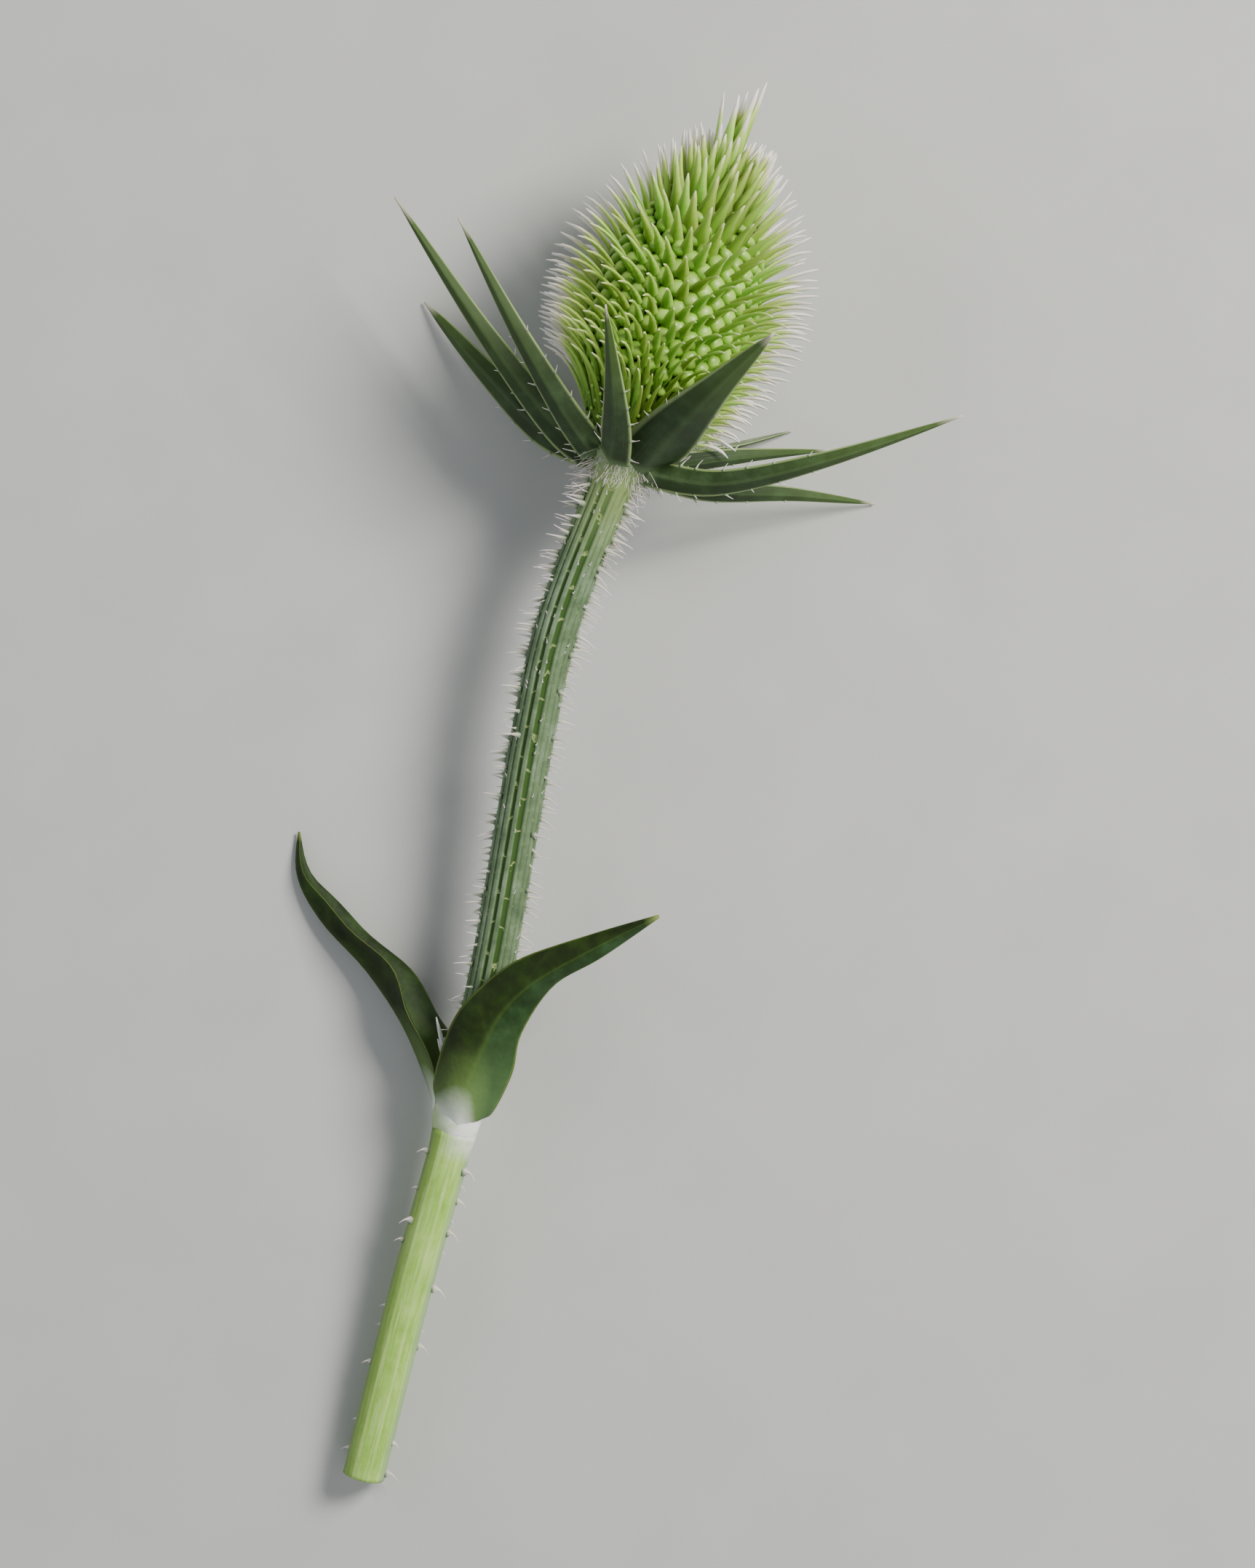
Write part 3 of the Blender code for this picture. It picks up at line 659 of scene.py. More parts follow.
# Height of the foot, and the strap's width as a factor
AWN_WIDTH = [(0, 0.5), (8, 0.56), (12, 0.72), (16, 0.84), (21, 0.96), (25, 1.15), (29, 1.4), (38, 1.25)]
# Height of the foot, and how much flatter the straps lie on the side that faces up
AWN_FLATTER = [(0, 0.1), (18, 0.1), (24, 0.25), (30, 0.42), (36, 0.3), (40, 0.0)]
# Height of the foot, and how long the strap stays broad: 1 narrows early, more narrows late
AWN_TAPER = [(0, 1.1), (18, 1.05), (24, 1.2), (30, 1.3), (38, 1.3)]
# Height of the foot, and how much later the awn turns white on the side that faces up
AWN_GREEN = [(0, 1.2), (10, 1.6), (28, 1.4), (33, 0.8), (40, 0.4)]
# Height of the foot, and how far short of white the awns on the side that faces up stop
AWN_UNRIPE = [(0, 0.34), (28, 0.36), (33, 0.3), (40, 0.2)]


def body_growth(height):
    """How much the body's radius grows in one millimetre at a height."""
    return outline_at(BODY_OUTLINE, height + 0.5) - outline_at(BODY_OUTLINE, height - 0.5)


def awn_tip(height, turn):
    """Height and radius of the tip of a floral bract that grows at a height and a turn."""
    lift = between(AWN_LIFT, height, 1) - between(AWN_LIFT, height, 2) * math.cos(turn)
    tip = height + lift + between(AWN_LIFT, height, 3) * math.sin(turn)
    return tip, outline_at(AWN_OUTLINE, tip)


def strap_rule(radius, height, turn, tip_radius, tip_height, rise, end_rise, width, taper, sway):
    """place(along, turn) of a strap from the body to its tip, in the head's coordinates."""
    foot, tip = Vector((radius, height)), Vector((tip_radius, tip_height))
    reach = (tip - foot).length * STRAP_REACH
    lead = foot + Vector((math.cos(rise), math.sin(rise))) * reach
    tail = tip - Vector((math.cos(end_rise), math.sin(end_rise))) * reach

    def place(along, section):
        here = cubic(foot, lead, tail, tip, along)
        ahead = cubic(foot, lead, tail, tip, along + 0.02) - here
        outward = Vector((ahead.y, -ahead.x)).normalized()
        half = between(STRAP_WIDTH, along**taper) * width / 2
        across, lift = math.cos(section), math.sin(section)
        push = between(STRAP_THICKNESS, along) * lift * 0.5 - STRAP_HOLLOW * half * abs(across)
        spot = here + outward * push
        return rest_on_table(head_point(spot.x, turn, spot.y, half * across + sway * along**2))

    return place


# %% Grow the floral bracts, ring by ring
BRACT_SEED = 7
# How much the bracts differ: shares of the length and width, degrees at the foot and end, sway in mm
LENGTH_SPREAD, WIDTH_SPREAD = 0.035, 0.05
RISE_SPREAD, END_SPREAD = 3, 6
SWAY_SPREAD = 0.5
draw = random.Random(BRACT_SEED)
for ring, places in enumerate(florets, 1):
    bm = new_piece()
    for height, turn in places:
        radius = outline_at(BODY_OUTLINE, height)
        slope = math.atan2(1.0, body_growth(height))
        foot = radius - FOOT_DEPTH * math.sin(slope)
        tip_height, tip_radius = awn_tip(height, turn)
        length = draw.gauss(1.0, LENGTH_SPREAD)
        facing = max(0.0, math.cos(turn))
        flatter = 1 - between(AWN_FLATTER, height) * facing
        tip_radius = radius + (tip_radius - radius) * length * flatter
        tip_height = height + (tip_height - height) * length
        straight = math.atan2(tip_height - height, tip_radius - radius)
        rise = straight + math.radians(between(AWN_BEND, height, 1) + draw.gauss(0, RISE_SPREAD))
        end_rise = straight + math.radians(between(AWN_BEND, height, 2) + draw.gauss(0, END_SPREAD))
        width = between(AWN_WIDTH, height) * draw.gauss(1.0, WIDTH_SPREAD)
        taper = between(AWN_TAPER, height)
        rule = strap_rule(
            foot, height - FOOT_STEP, turn, tip_radius, tip_height, min(rise, slope - 0.1), end_rise,
            width, taper, draw.gauss(0, SWAY_SPREAD),
        )
        ripen = taper + facing * between(AWN_GREEN, height)
        ripe = 1 - between(AWN_UNRIPE, height) * min(1.0, FACING * facing)
        grow(bm, STRAP, rule, tint=draw.random(), ripen=ripen, ripe=ripe)
    finish_piece(bm, f"floral_bracts_{ring:02d}", [floral_bract], [f"floral_ring_{ring:02d}"])

# %% [markdown]
# ## Flower buds
#
# One closed bud sits in the angle above each bract. A bmesh sphere with few faces is enough, because
# it is smooth and only its crown shows. It is squeezed a little and leans with the body's slope.

# %% Grow the flower buds
BUD_HALF_WIDTH = 1.36
BUD_HALF_HEIGHT = 1.0
BUD_DEPTH = 0.5  # of its middle below the body's surface
BUD_STEP = 0.8  # above the place of its floret
BUD_LEAN = 0.2  # how far the pole leans up the body
BUD_SPREAD = 0.03  # how much the buds differ in size
BUD_SEED = 11
BUD_FLATNESS = 0.42  # 0.5 is a round crown, and less is a flatter one
# Height on the head, and the bud's size as a factor: the bracts hide small buds at the foot and top
BUD_SIZE = [(0, 0.2), (7, 0.25), (12, 0.95), (26, 1.0), (29, 0.92), (33, 0.75), (38, 0.5)]


def sphere_order(face):
    """Number by which the sphere's faces are sorted: by height, then by turn."""
    middle = face.calc_center_median()
    return round(middle.z, 3) * 100 + math.atan2(middle.y, middle.x)


bm = bmesh.new()
bmesh.ops.create_uvsphere(bm, u_segments=10, v_segments=8, radius=0.5)
bmesh.ops.translate(bm, verts=bm.verts, vec=(0, 0, 0.5))
bm.faces.sort(key=sphere_order)  # the sphere's faces come in another order each run
BUD = bpy.data.meshes.new("bud_sphere")
bm.to_mesh(BUD)
bm.free()


def bud_rule(height, turn, size):
    """place(along, section) of a bud whose pole points out from the body, and a little up."""
    up = Vector((body_growth(height), 1.0)).normalized()
    out = Vector((up.y, -up.x))
    middle = Vector((outline_at(BODY_OUTLINE, height), height)) - out * BUD_DEPTH + up * BUD_STEP
    pole = (out + up * BUD_LEAN).normalized()
    side = Vector((-pole.y, pole.x))

    def place(along, section):
        level = 2 * along - 1
        girth = max(0.0, 1 - level * level) ** BUD_FLATNESS * BUD_HALF_WIDTH * size
        spot = middle + pole * (level * BUD_HALF_HEIGHT * size) + side * (girth * math.sin(section))
        return head_point(spot.x, turn, spot.y, girth * math.cos(section))

    return place


draw = random.Random(BUD_SEED)
for ring, places in enumerate(florets, 1):
    bm = new_piece()
    for height, turn in places:
        size = between(BUD_SIZE, height) * draw.gauss(1.0, BUD_SPREAD)
        grow(bm, BUD, bud_rule(height, turn, size), tint=draw.random())
    finish_piece(bm, f"flower_buds_{ring:02d}", [flower_bud], [f"floral_ring_{ring:02d}"])

# %% [markdown]
# ## Crest
#
# At the very top a few bracts are twice as long and broad, and stand together as a tuft. Each gets
# its own tip, read off the picture as a height and a sideways place, with a guess for its depth.

# %% Grow the crest
CREST_STRAP = tube_template("strap_of_six_sides", 12, 6)
CREST_FOOT_RADIUS, CREST_FOOT_HEIGHT = 1.5, 35.6
CREST_RISE = 12.0  # height in which a bract of the crest comes to stand over its tip's place
CREST_TAPER = 1.7
CREST_RIPEN = 2.2
CREST_SEED = 3
# Height of the tip, how far it lies to the right, how far towards the eye, and the width's factor
CREST_TIPS = [
    (51.8, 1.2, 0.3, 1.3), (50.6, 0.1, 1.3, 1.25), (49.8, -0.8, -0.8, 1.2), (48.7, -3.6, 0.2, 1.2),
    (49.0, -1.6, 1.6, 1.15), (50.0, 0.5, -1.2, 1.1), (44.8, -2.6, 2.6, 1.0), (46.4, 0.4, -2.6, 1.0),
    (47.4, 0.9, 2.4, 1.1), (42.6, -4.0, 1.8, 1.0), (43.6, -3.8, -1.6, 1.0), (44.0, 2.6, 1.4, 1.0),
]
draw = random.Random(CREST_SEED)
bm = new_piece()
for tip_height, right, eye, width in CREST_TIPS:
    turn = math.atan2(right, eye)
    reach = math.hypot(right, eye)
    rise = math.atan2(CREST_RISE, reach - CREST_FOOT_RADIUS)
    rule = strap_rule(
        CREST_FOOT_RADIUS, CREST_FOOT_HEIGHT, turn, reach, tip_height, rise + 0.06, rise - 0.04, width,
        CREST_TAPER, draw.gauss(0, 0.3),
    )
    grow(bm, CREST_STRAP, rule, tint=draw.random(), ripen=CREST_RIPEN)
finish_piece(bm, "crest_tuft", [floral_bract], ["crest_bracts"])

# %% [markdown]
# ## Prickles
#
# A prickle is a cone with a flared foot that draws out to a needle and bends a little. The same rule
# gives the stout prickles of the stem, the fine bristles under the head and the teeth of the bracts:
# only the size, the slant and the bend differ.

# %% How a prickle grows
NEEDLE = tube_template("needle_of_five_sides", 6, 5)
PRICKLE_SINK = 0.15  # millimetres of its foot inside the skin, so that no gap shows


def with_sides(direction):
    """A direction and two more that are square to it and to each other, all of length one."""
    direction = direction.normalized()
    side = direction.orthogonal().normalized()
    return direction, side, direction.cross(side)


def prickle_rule(foot, direction, bend, length, foot_radius, point_radius=0.035):
    """place(along, turn) of a prickle; foot in metres, the sizes in millimetres."""
    direction, side, other = with_sides(direction)

    def place(along, turn):
        middle = direction * (length * along - PRICKLE_SINK) + bend * (length * along**2)
        girth = foot_radius * (0.3 + 0.7 * (1 - along) ** 3) * (1 - along) + point_radius
        spot = middle + side * (girth * math.cos(turn)) + other * (girth * math.sin(turn))
        return foot + spot * MM

    return place


# %% [markdown]
# ## Involucral bracts
#
# Each long bract is a tube pressed flat: it has a strong keel on its outer face, thin margins that
# fold towards the head, and a stiff point. Its line runs from the neck through the same points as
# the CAD bract. Small teeth stand along both margins of the lower two thirds.

# %% Grow the involucral bracts
BLADE = tube_template("blade_of_sixteen_sides", 26, 16)
FOOT_HEIGHT, FOOT_RADIUS = -1.0, 3.9
BLADE_FOLD = 0.35
BLADE_HALF_THICKNESS = 0.24
KEEL_HEIGHT, KEEL_WIDTH = 0.16, 0.2  # in millimetres, and as a share of the half width
TIP_WIDTH = 0.3
TEETH_FROM, TEETH_TO = 0.1, 0.66  # shares of the length
TOOTH_GAPS, TOOTH_LENGTHS = (2.4, 5.0), (0.5, 1.4)  # from and to, in millimetres
BRACT_TEETH_SEED = 5
# Name: turn round the neck in degrees, full width, how long it stays broad, how far the outer face
# turns up, and the points to the tip
INVOLUCRAL_BRACTS = {
    "front_short": (-16, 4.9, 1.7, 0.00, [(-1.7, 45.4, 26.4), (-1.9, 51.6, 33.4), (-2.8, 60.7, 38.8)]),
    "front_broad": (54, 9.4, 1.6, 0.55, [(5.6, 44.7, 26.0), (10.6, 49.6, 34.0), (18.5, 56.9, 41.2)]),
    "right_long": (66, 3.8, 2.2, 0.55, [(12.0, 38.9, 19.8), (26.1, 41.9, 22.4), (43.3, 47.5, 23.0)]),
    "right_lower": (90, 3.4, 2.0, 0.45, [(11.0, 38.2, 13.0), (22.0, 38.0, 6.8), (32.8, 37.1, 0.5)]),
    "right_upper": (112, 3.4, 2.0, 0.45, [(9.4, 42.0, 12.8), (17.0, 43.0, 10.2), (26.5, 43.8, 8.2)]),
    "right_back": (142, 3.4, 2.0, 0.20, [(8.2, 43.2, 7.4), (14.4, 44.6, 3.4), (21.9, 46.8, 0.5)]),
    "back_right": (174, 3.2, 1.8, 0.00, [(1.8, 41.6, 6.0), (5.6, 42.4, 2.0), (12.6, 46.2, 0.5)]),
    "back_left": (-154, 3.2, 1.8, 0.00, [(-5.6, 45.4, 6.8), (-10.6, 50.2, 2.6), (-16.2, 56.6, 0.5)]),
    "left_lower": (-122, 4.6, 3.2, 0.50, [(-11.4, 46.6, 10.2), (-18.6, 54.0, 5.4), (-26.9, 63.8, 0.5)]),
    "left_long": (-90, 4.9, 2.0, 0.65, [(-9.6, 46.9, 15.8), (-18.6, 58.6, 16.4), (-30.2, 76.2, 18.0)]),
    "left_upper": (-58, 4.4, 2.0, 0.55, [(-8.0, 47.8, 21.0), (-14.4, 58.6, 24.8), (-21.7, 72.7, 27.0)]),
}


def bract_frame(line, along, face_up):
    """Place, direction, outward and sideways directions at a share of a bract's line."""
    here, tangent = along_line(line, along)
    away = here - NECK
    away -= head_axis * away.dot(head_axis)
    outward = away.normalized() * (1 - face_up) + Vector((0, 0, 1)) * face_up
    outward = (outward - tangent * outward.dot(tangent)).normalized()
    return here, tangent, outward, tangent.cross(outward)


def bract_point(line, width, full, face_up, along, across, lift):
    """Point of a bract's surface: across runs from margin to margin, lift is 1 on the outer face."""
    here, _, outward, side = bract_frame(line, along, face_up)
    half = max(TIP_WIDTH, width * (1 - along**full)) / 2
    keel = KEEL_HEIGHT * math.exp(-((across / KEEL_WIDTH) ** 2)) * min(1.0, half) if lift > 0 else 0.0
    thick = BLADE_HALF_THICKNESS * lift * min(1.0, 0.35 + half * 0.5)
    push = thick + keel - BLADE_FOLD * half * abs(across) ** 1.4
    return rest_on_table((here + side * (half * across) + outward * push) * MM)


def widen(turn):
    """Cosine of the turn with its corners drawn towards the keel, where the blade bends most."""
    across = math.cos(turn)
    return math.copysign(abs(across) ** 1.35, across)


draw = random.Random(BRACT_TEETH_SEED)
for name, (turn, width, full, face_up, points) in INVOLUCRAL_BRACTS.items():
    foot = head_point(FOOT_RADIUS, math.radians(turn), FOOT_HEIGHT) / MM
    line = [foot] + [Vector(point) for point in points]
    bm = new_piece()
    shape = (line, width, full, face_up)
    grow(bm, BLADE, lambda along, turn: bract_point(*shape, along, widen(turn), math.sin(turn)), across=widen)
    length = sum((b - a).length for a, b in zip(line, line[1:]))
    along = TEETH_FROM
    while along < TEETH_TO:
        for margin in (-1, 1):
            share = along + draw.uniform(-0.01, 0.01)
            tangent, outward, side = bract_frame(line, share, face_up)[1:]
            foot = bract_point(*shape, share, margin * 0.97, 0.0)
            direction = side * margin + tangent * draw.uniform(0.1, 0.9) + outward * draw.uniform(-0.3, 0.3)
            size = draw.uniform(*TOOTH_LENGTHS) * (1.25 - along)
            tooth = prickle_rule(foot, direction, tangent * 0.35, size, 0.26, 0.03)
            if (foot + direction * size * MM).z > FLOOR_CLEARANCE:
                grow(bm, NEEDLE, tooth, material=1, tint=draw.random())
        along += draw.uniform(*TOOTH_GAPS) / length
    names = [f"involucral_bract_{name}"]
    finish_piece(bm, f"long_bract_{name}", [involucral_bract, prickle], names)

# %% [markdown]
# ## Stem
#
# The stem is one bent line from the cut end to the neck, and its three pieces are stretches of it.
# The height of the line climbs evenly, because the cut end lies on the table while the head holds
# its own end up.

# %% The stem's line
STEM_LINE = [
    (-34.9, -91.4), (-28.7, -67.0), (-22.5, -44.6), (-17.7, -23.8), (-12.3, 6.8), (-8.7, 22.2), (-1.7, 40.1),
]
CUT_END_HEIGHT, STEM_TOP_HEIGHT = 2.85, 15.63
LOWER_STEM_SPAN = (0.0, 0.3485)
NODE_SPAN = (0.3485, 0.3865)
PEDUNCLE_SPAN = (0.3865, 1.0)
stem_flat = [Vector((x, y, 0.0)) for x, y in STEM_LINE]
stem_runs = [0.0]
for a, b in zip(stem_flat, stem_flat[1:]):
    stem_runs.append(stem_runs[-1] + (b - a).length)


def turn_between(one, other):
    """Angle between two turns, whichever way round is shorter."""
    return abs(math.remainder(one - other, math.tau))


def stem_point(share):
    """Point of the stem's axis in millimetres."""
    wanted = share * stem_runs[-1]
    k = min(max(i for i in range(len(stem_runs)) if stem_runs[i] <= wanted + 1e-9), len(stem_flat) - 2)
    local = (wanted - stem_runs[k]) / (stem_runs[k + 1] - stem_runs[k])
    point = smooth_line(stem_flat, min(max((k + local) / (len(stem_flat) - 1), 0.0), 1.0))
    point.z = CUT_END_HEIGHT + (STEM_TOP_HEIGHT - CUT_END_HEIGHT) * share
    return point


def stem_frame(share):
    """Axis point, direction, upward and sideways directions at a share of the stem."""
    tangent = (stem_point(min(share + 0.004, 1.0)) - stem_point(max(share - 0.004, 0.0))).normalized()
    side = tangent.cross(Vector((0, 0, 1))).normalized()
    return stem_point(share), tangent, side.cross(tangent), side


def on_stem(share, turn, radius):
    """Point at a turn round the stem, zero to the right and a quarter turn on top, in metres."""
    middle, _, up, side = stem_frame(share)
    return rest_on_table((middle + side * (radius * math.cos(turn)) + up * (radius * math.sin(turn))) * MM)


print("length of the stem in mm:", round(stem_runs[-1], 1))

# %% [markdown]
# ## Grooved peduncle
#
# Broad ribs run up the peduncle with flat-floored grooves between them. They aren't evenly wide, so
# each groove is listed with its own place and width, and one rule turns the list into a radius.

# %% Grow the peduncle
PEDUNCLE_RADIUS = 2.88
GROOVE_DEPTH = 0.36
# Turn of each groove in degrees, zero to the right and a quarter turn on top, and its half width
GROOVES = [
    (24, 3.4), (44, 2.8), (63, 2.6), (83, 8.0), (109, 5.5), (131, 3.2), (153, 5.2), (176, 4.0), (200, 6.0),
    (228, 7.0), (260, 7.0), (292, 7.0), (324, 6.0), (352, 4.0),
]


def nearest_groove(turn):
    """Number of the groove that is closest to a turn, as a share of all."""
    away = [turn_between(turn, math.radians(middle)) for middle, _ in GROOVES]
    return away.index(min(away)) / len(GROOVES)


def groove_at(turn):
    """Depth from 0 on a rib to 1 on the flat floor of a groove."""
    depth = 0.0
    for middle, half_width in GROOVES:
        away = turn_between(turn, math.radians(middle)) / math.radians(half_width)
        depth = max(depth, min(1.0, 2.2 - 1.9 * away) * min(1.0, half_width / 6))
    return depth


def peduncle_radius(along, turn):
    """Radius with its ribs, which swells into the neck at the top and the node at the foot."""
    swell = 0.2 * max(0.0, (along - 0.93) / 0.07) ** 2 + 0.3 * max(0.0, (0.03 - along) / 0.03)
    fade = 1 - 0.5 * max(0.0, along - 0.86) / 0.14
    return PEDUNCLE_RADIUS + swell - GROOVE_DEPTH * groove_at(turn) * fade


def stem_rule(span, radius_at):
    """place(along, turn) of a stretch of the stem."""
    return lambda along, turn: on_stem(span[0] + (span[1] - span[0]) * along, turn, radius_at(along, turn))


bm = new_piece()
RIBBED_TUBE = tube_template("tube_of_many_sides", 60, 144)
grow(
    bm, RIBBED_TUBE, stem_rule(PEDUNCLE_SPAN, peduncle_radius), across=groove_at,
    tint=lambda along, turn: nearest_groove(turn),
)
finish_piece(bm, "ribbed_peduncle", [peduncle_skin], ["peduncle"])

# %% [markdown]
# ## Prickles of the peduncle
#
# They stand on the ribs, longer and finer towards the head, and close under it they become a dense
# fringe of bristles. Most stand straight out and bend a little towards the cut end.

# %% Grow the prickles of the peduncle
PRICKLE_COUNT = 260
HOOKLET_COUNT = 70  # tiny hooks on the edges of the grooves
BRISTLE_COUNT = 170
HIGHEST_FOOT = 0.995  # along the peduncle
SIDE_LEAN = 0.12  # how much the prickles lean to either side
PRICKLE_RIPEN = 0.65  # below 1, so the foot is already pale
PRICKLE_SEED = 21
draw = random.Random(PRICKLE_SEED)
bm = new_piece()


def stem_prickle(along, turn, length, foot_radius, slant, bend):
    """One prickle on the peduncle, unless it would reach into the table."""
    share = PEDUNCLE_SPAN[0] + (PEDUNCLE_SPAN[1] - PEDUNCLE_SPAN[0]) * min(along, HIGHEST_FOOT)
    tangent, up, side = stem_frame(share)[1:]
    out = side * math.cos(turn) + up * math.sin(turn)
    direction = out + tangent * slant + tangent.cross(out) * draw.gauss(0, SIDE_LEAN)
    foot = on_stem(share, turn, peduncle_radius(along, turn))
    tip = foot + (direction.normalized() + tangent * bend) * length * MM
    if tip.z > FLOOR_CLEARANCE:
        prickle_place = prickle_rule(foot, direction, tangent * bend, length, foot_radius)
        grow(bm, NEEDLE, prickle_place, tint=draw.random(), ripen=PRICKLE_RIPEN)


# Prickles in turn on the left edge, below and on the right edge, bigger towards the head
for i in range(PRICKLE_COUNT):
    along = 0.015 + 0.97 * ((i + draw.random()) / PRICKLE_COUNT) ** 0.8
    turn = math.radians((draw.gauss(178, 16), draw.uniform(190, 350), draw.gauss(2, 16))[i % 3])
    stout = draw.random() * (0.55 + 0.45 * along)
    if along > 0.2 or math.cos(turn) < -0.3:
        size = (1.3 + 2.1 * stout, 0.26 + 0.38 * stout)
        stem_prickle(along, turn, *size, draw.gauss(0.0, 0.12), draw.gauss(-0.14, 0.1))
# Hooklets just beside a groove that is drawn by lot
for i in range(HOOKLET_COUNT):
    along = 0.22 + 0.75 * (i + draw.random()) / HOOKLET_COUNT
    middle, half_width = draw.choice(GROOVES)
    turn = math.radians(middle + draw.choice((-1, 1)) * half_width * 1.1)
    stem_prickle(along, turn, draw.uniform(0.3, 0.55), 0.2, 0.8, 0.35)
# Fine bristles all round except on top, denser towards the neck
for i in range(BRISTLE_COUNT):
    along = 1.0 - 0.3 * abs(draw.gauss(0, 0.45))
    turn = math.radians(draw.uniform(148, 392))
    stem_prickle(along, turn, draw.uniform(1.2, 3.0), 0.1, draw.gauss(-0.05, 0.25), draw.gauss(-0.1, 0.15))
finish_piece(bm, "peduncle_prickles", [prickle])

# %% [markdown]
# ## Neck
#
# The neck is the short, thick ring that the long bracts grow from. It is turned like the CAD piece,
# but every bract's foot lifts a rounded shoulder on it, and a fringe of fine hairs hangs below it.

# %% Grow the neck and its hairs
NECK_OUTLINE = [
    (-5.0, 2.3), (-4.4, 2.8), (-3.4, 3.02), (-2.4, 3.2), (-1.6, 3.45), (-0.8, 3.8), (0.0, 4.1), (1.0, 3.6),
]
SHOULDER = 0.2
# Long hairs, then short fuzz: how many, then from and to for the turn in degrees, the share up the
# neck, the droop and the length, then the sideways spread, bend, foot and point radius and ripening
NECK_HAIRS = [
    (120, (42, 318), (0.3, 0.85), (0.1, 1.3), (1.4, 3.4), 0.25, -0.15, 0.08, 0.025, 1.0),
    (260, (0, 360), (0.25, 0.7), (0.6, 2.0), (0.6, 1.3), 0.6, -0.2, 0.05, 0.02, 0.4),
]
NECK_SEED = 31
NECK_TUBE = tube_template("tube_of_sixty_sides", 14, 60)
bract_turns = [math.radians(row[0]) for row in INVOLUCRAL_BRACTS.values()]


def neck_place(along, turn):
    """Point of the neck's skin, with a shoulder under each long bract."""
    height = NECK_OUTLINE[0][0] + (NECK_OUTLINE[-1][0] - NECK_OUTLINE[0][0]) * along
    nearest = min(turn_between(turn, one) for one in bract_turns)
    lobe = SHOULDER * math.exp(-((nearest / 0.28) ** 2)) * math.sin(math.pi * along**2)
    return head_point(outline_at(NECK_OUTLINE, height) + lobe, turn, height)


draw = random.Random(NECK_SEED)
bm = new_piece()
grow(bm, NECK_TUBE, neck_place)
for count, turns, shares, droops, lengths, spread, bend, foot_radius, point_radius, ripen in NECK_HAIRS:
    for i in range(count):
        turn, along = math.radians(draw.uniform(*turns)), draw.uniform(*shares)
        foot, away = neck_place(along, turn), away_at(turn)
        direction = away - head_axis * draw.uniform(*droops) + away.cross(head_axis) * draw.gauss(0, spread)
        length = draw.uniform(*lengths)
        hair = prickle_rule(foot, direction, head_axis * bend, length, foot_radius, point_radius)
        if (foot + direction.normalized() * length * MM).z > FLOOR_CLEARANCE:
            grow(bm, NEEDLE, hair, material=1, tint=draw.random(), ripen=ripen)
finish_piece(bm, "neck_with_hairs", [neck_tissue, prickle], ["involucre_base"])

# %% [markdown]
# ## Lower stem and its cut end
#
# The lower stem is rounder, with many fine ribs. Its cut end is the cap of the same tube: an inset
# leaves a narrow rind, and the pith inside it sinks a little, as it does when a cut stem dries. A few
# stout, hooked prickles point back towards the cut.

# %% Grow the lower stem
LOWER_RADIUS = 2.74
# Hooks along the two edges and below: how far up the stem, and length
HOOKS_RIGHT = [
    (0.04, 2.3), (0.15, 1.2), (0.40, 2.2), (0.44, 0.7), (0.56, 2.3), (0.66, 0.8), (0.72, 2.0), (0.75, 0.8),
    (0.81, 1.7), (0.85, 1.0), (0.9, 2.2),
]
HOOKS_LEFT = [
    (0.1, 1.2), (0.19, 0.7), (0.34, 1.3), (0.43, 0.8), (0.48, 1.0), (0.67, 1.3), (0.73, 1.8), (0.82, 0.9),
    (0.93, 1.6),
]
HOOKS_UNDER = [(0.25, 0.9), (0.5, 1.1), (0.62, 1.0), (0.78, 1.3), (0.88, 1.2)]
FINE_RIB_HEIGHT = 0.05
FINE_RIBS = (42, 74, 119, 146, 168, 205, 236, 268, 300, 330, 358)  # turns in degrees
FINE_RIB_HALF_WIDTH = math.radians(6.0)
RIND = 0.45
PITH_RIM = 0.9
PITH_SINK, PITH_DIMPLE = 0.35, 0.15
HOOK_SEED = 41


def fine_rib_at(turn):
    """Height from 0 between the fine ribs to 1 on the back of one."""
    away = min(turn_between(turn, math.radians(one)) for one in FINE_RIBS)
    return max(0.0, 1 - away / FINE_RIB_HALF_WIDTH)


def lower_radius(along, turn):
    """Radius with the fine ribs, which swells a little into the node."""
    swell = 0.2 * max(0.0, (along - 0.94) / 0.06)
    return LOWER_RADIUS + swell + FINE_RIB_HEIGHT * fine_rib_at(turn)


bm = new_piece()
grow(
    bm, RIBBED_TUBE, stem_rule(LOWER_STEM_SPAN, lower_radius), across=fine_rib_at,
    tint=lambda along, turn: 0.5 + 0.5 * math.cos(turn),
)
bm.normal_update()
cut_direction = -stem_frame(0.0)[1]
caps = [face for face in bm.faces if len(face.verts) > 4]
cut = max(caps, key=lambda cap: cap.calc_center_median().dot(cut_direction))
bmesh.ops.inset_region(bm, faces=[cut], thickness=RIND * MM, use_even_offset=False)
rim = bmesh.ops.inset_region(bm, faces=[cut], thickness=PITH_RIM * MM, use_even_offset=False)["faces"]
for face in [cut, *rim]:
    face.material_index = 1
bmesh.ops.translate(bm, verts=cut.verts, vec=cut_direction * -PITH_SINK * MM)
middle = bmesh.ops.poke(bm, faces=[cut])["verts"][0]
middle.co -= cut_direction * PITH_DIMPLE * MM

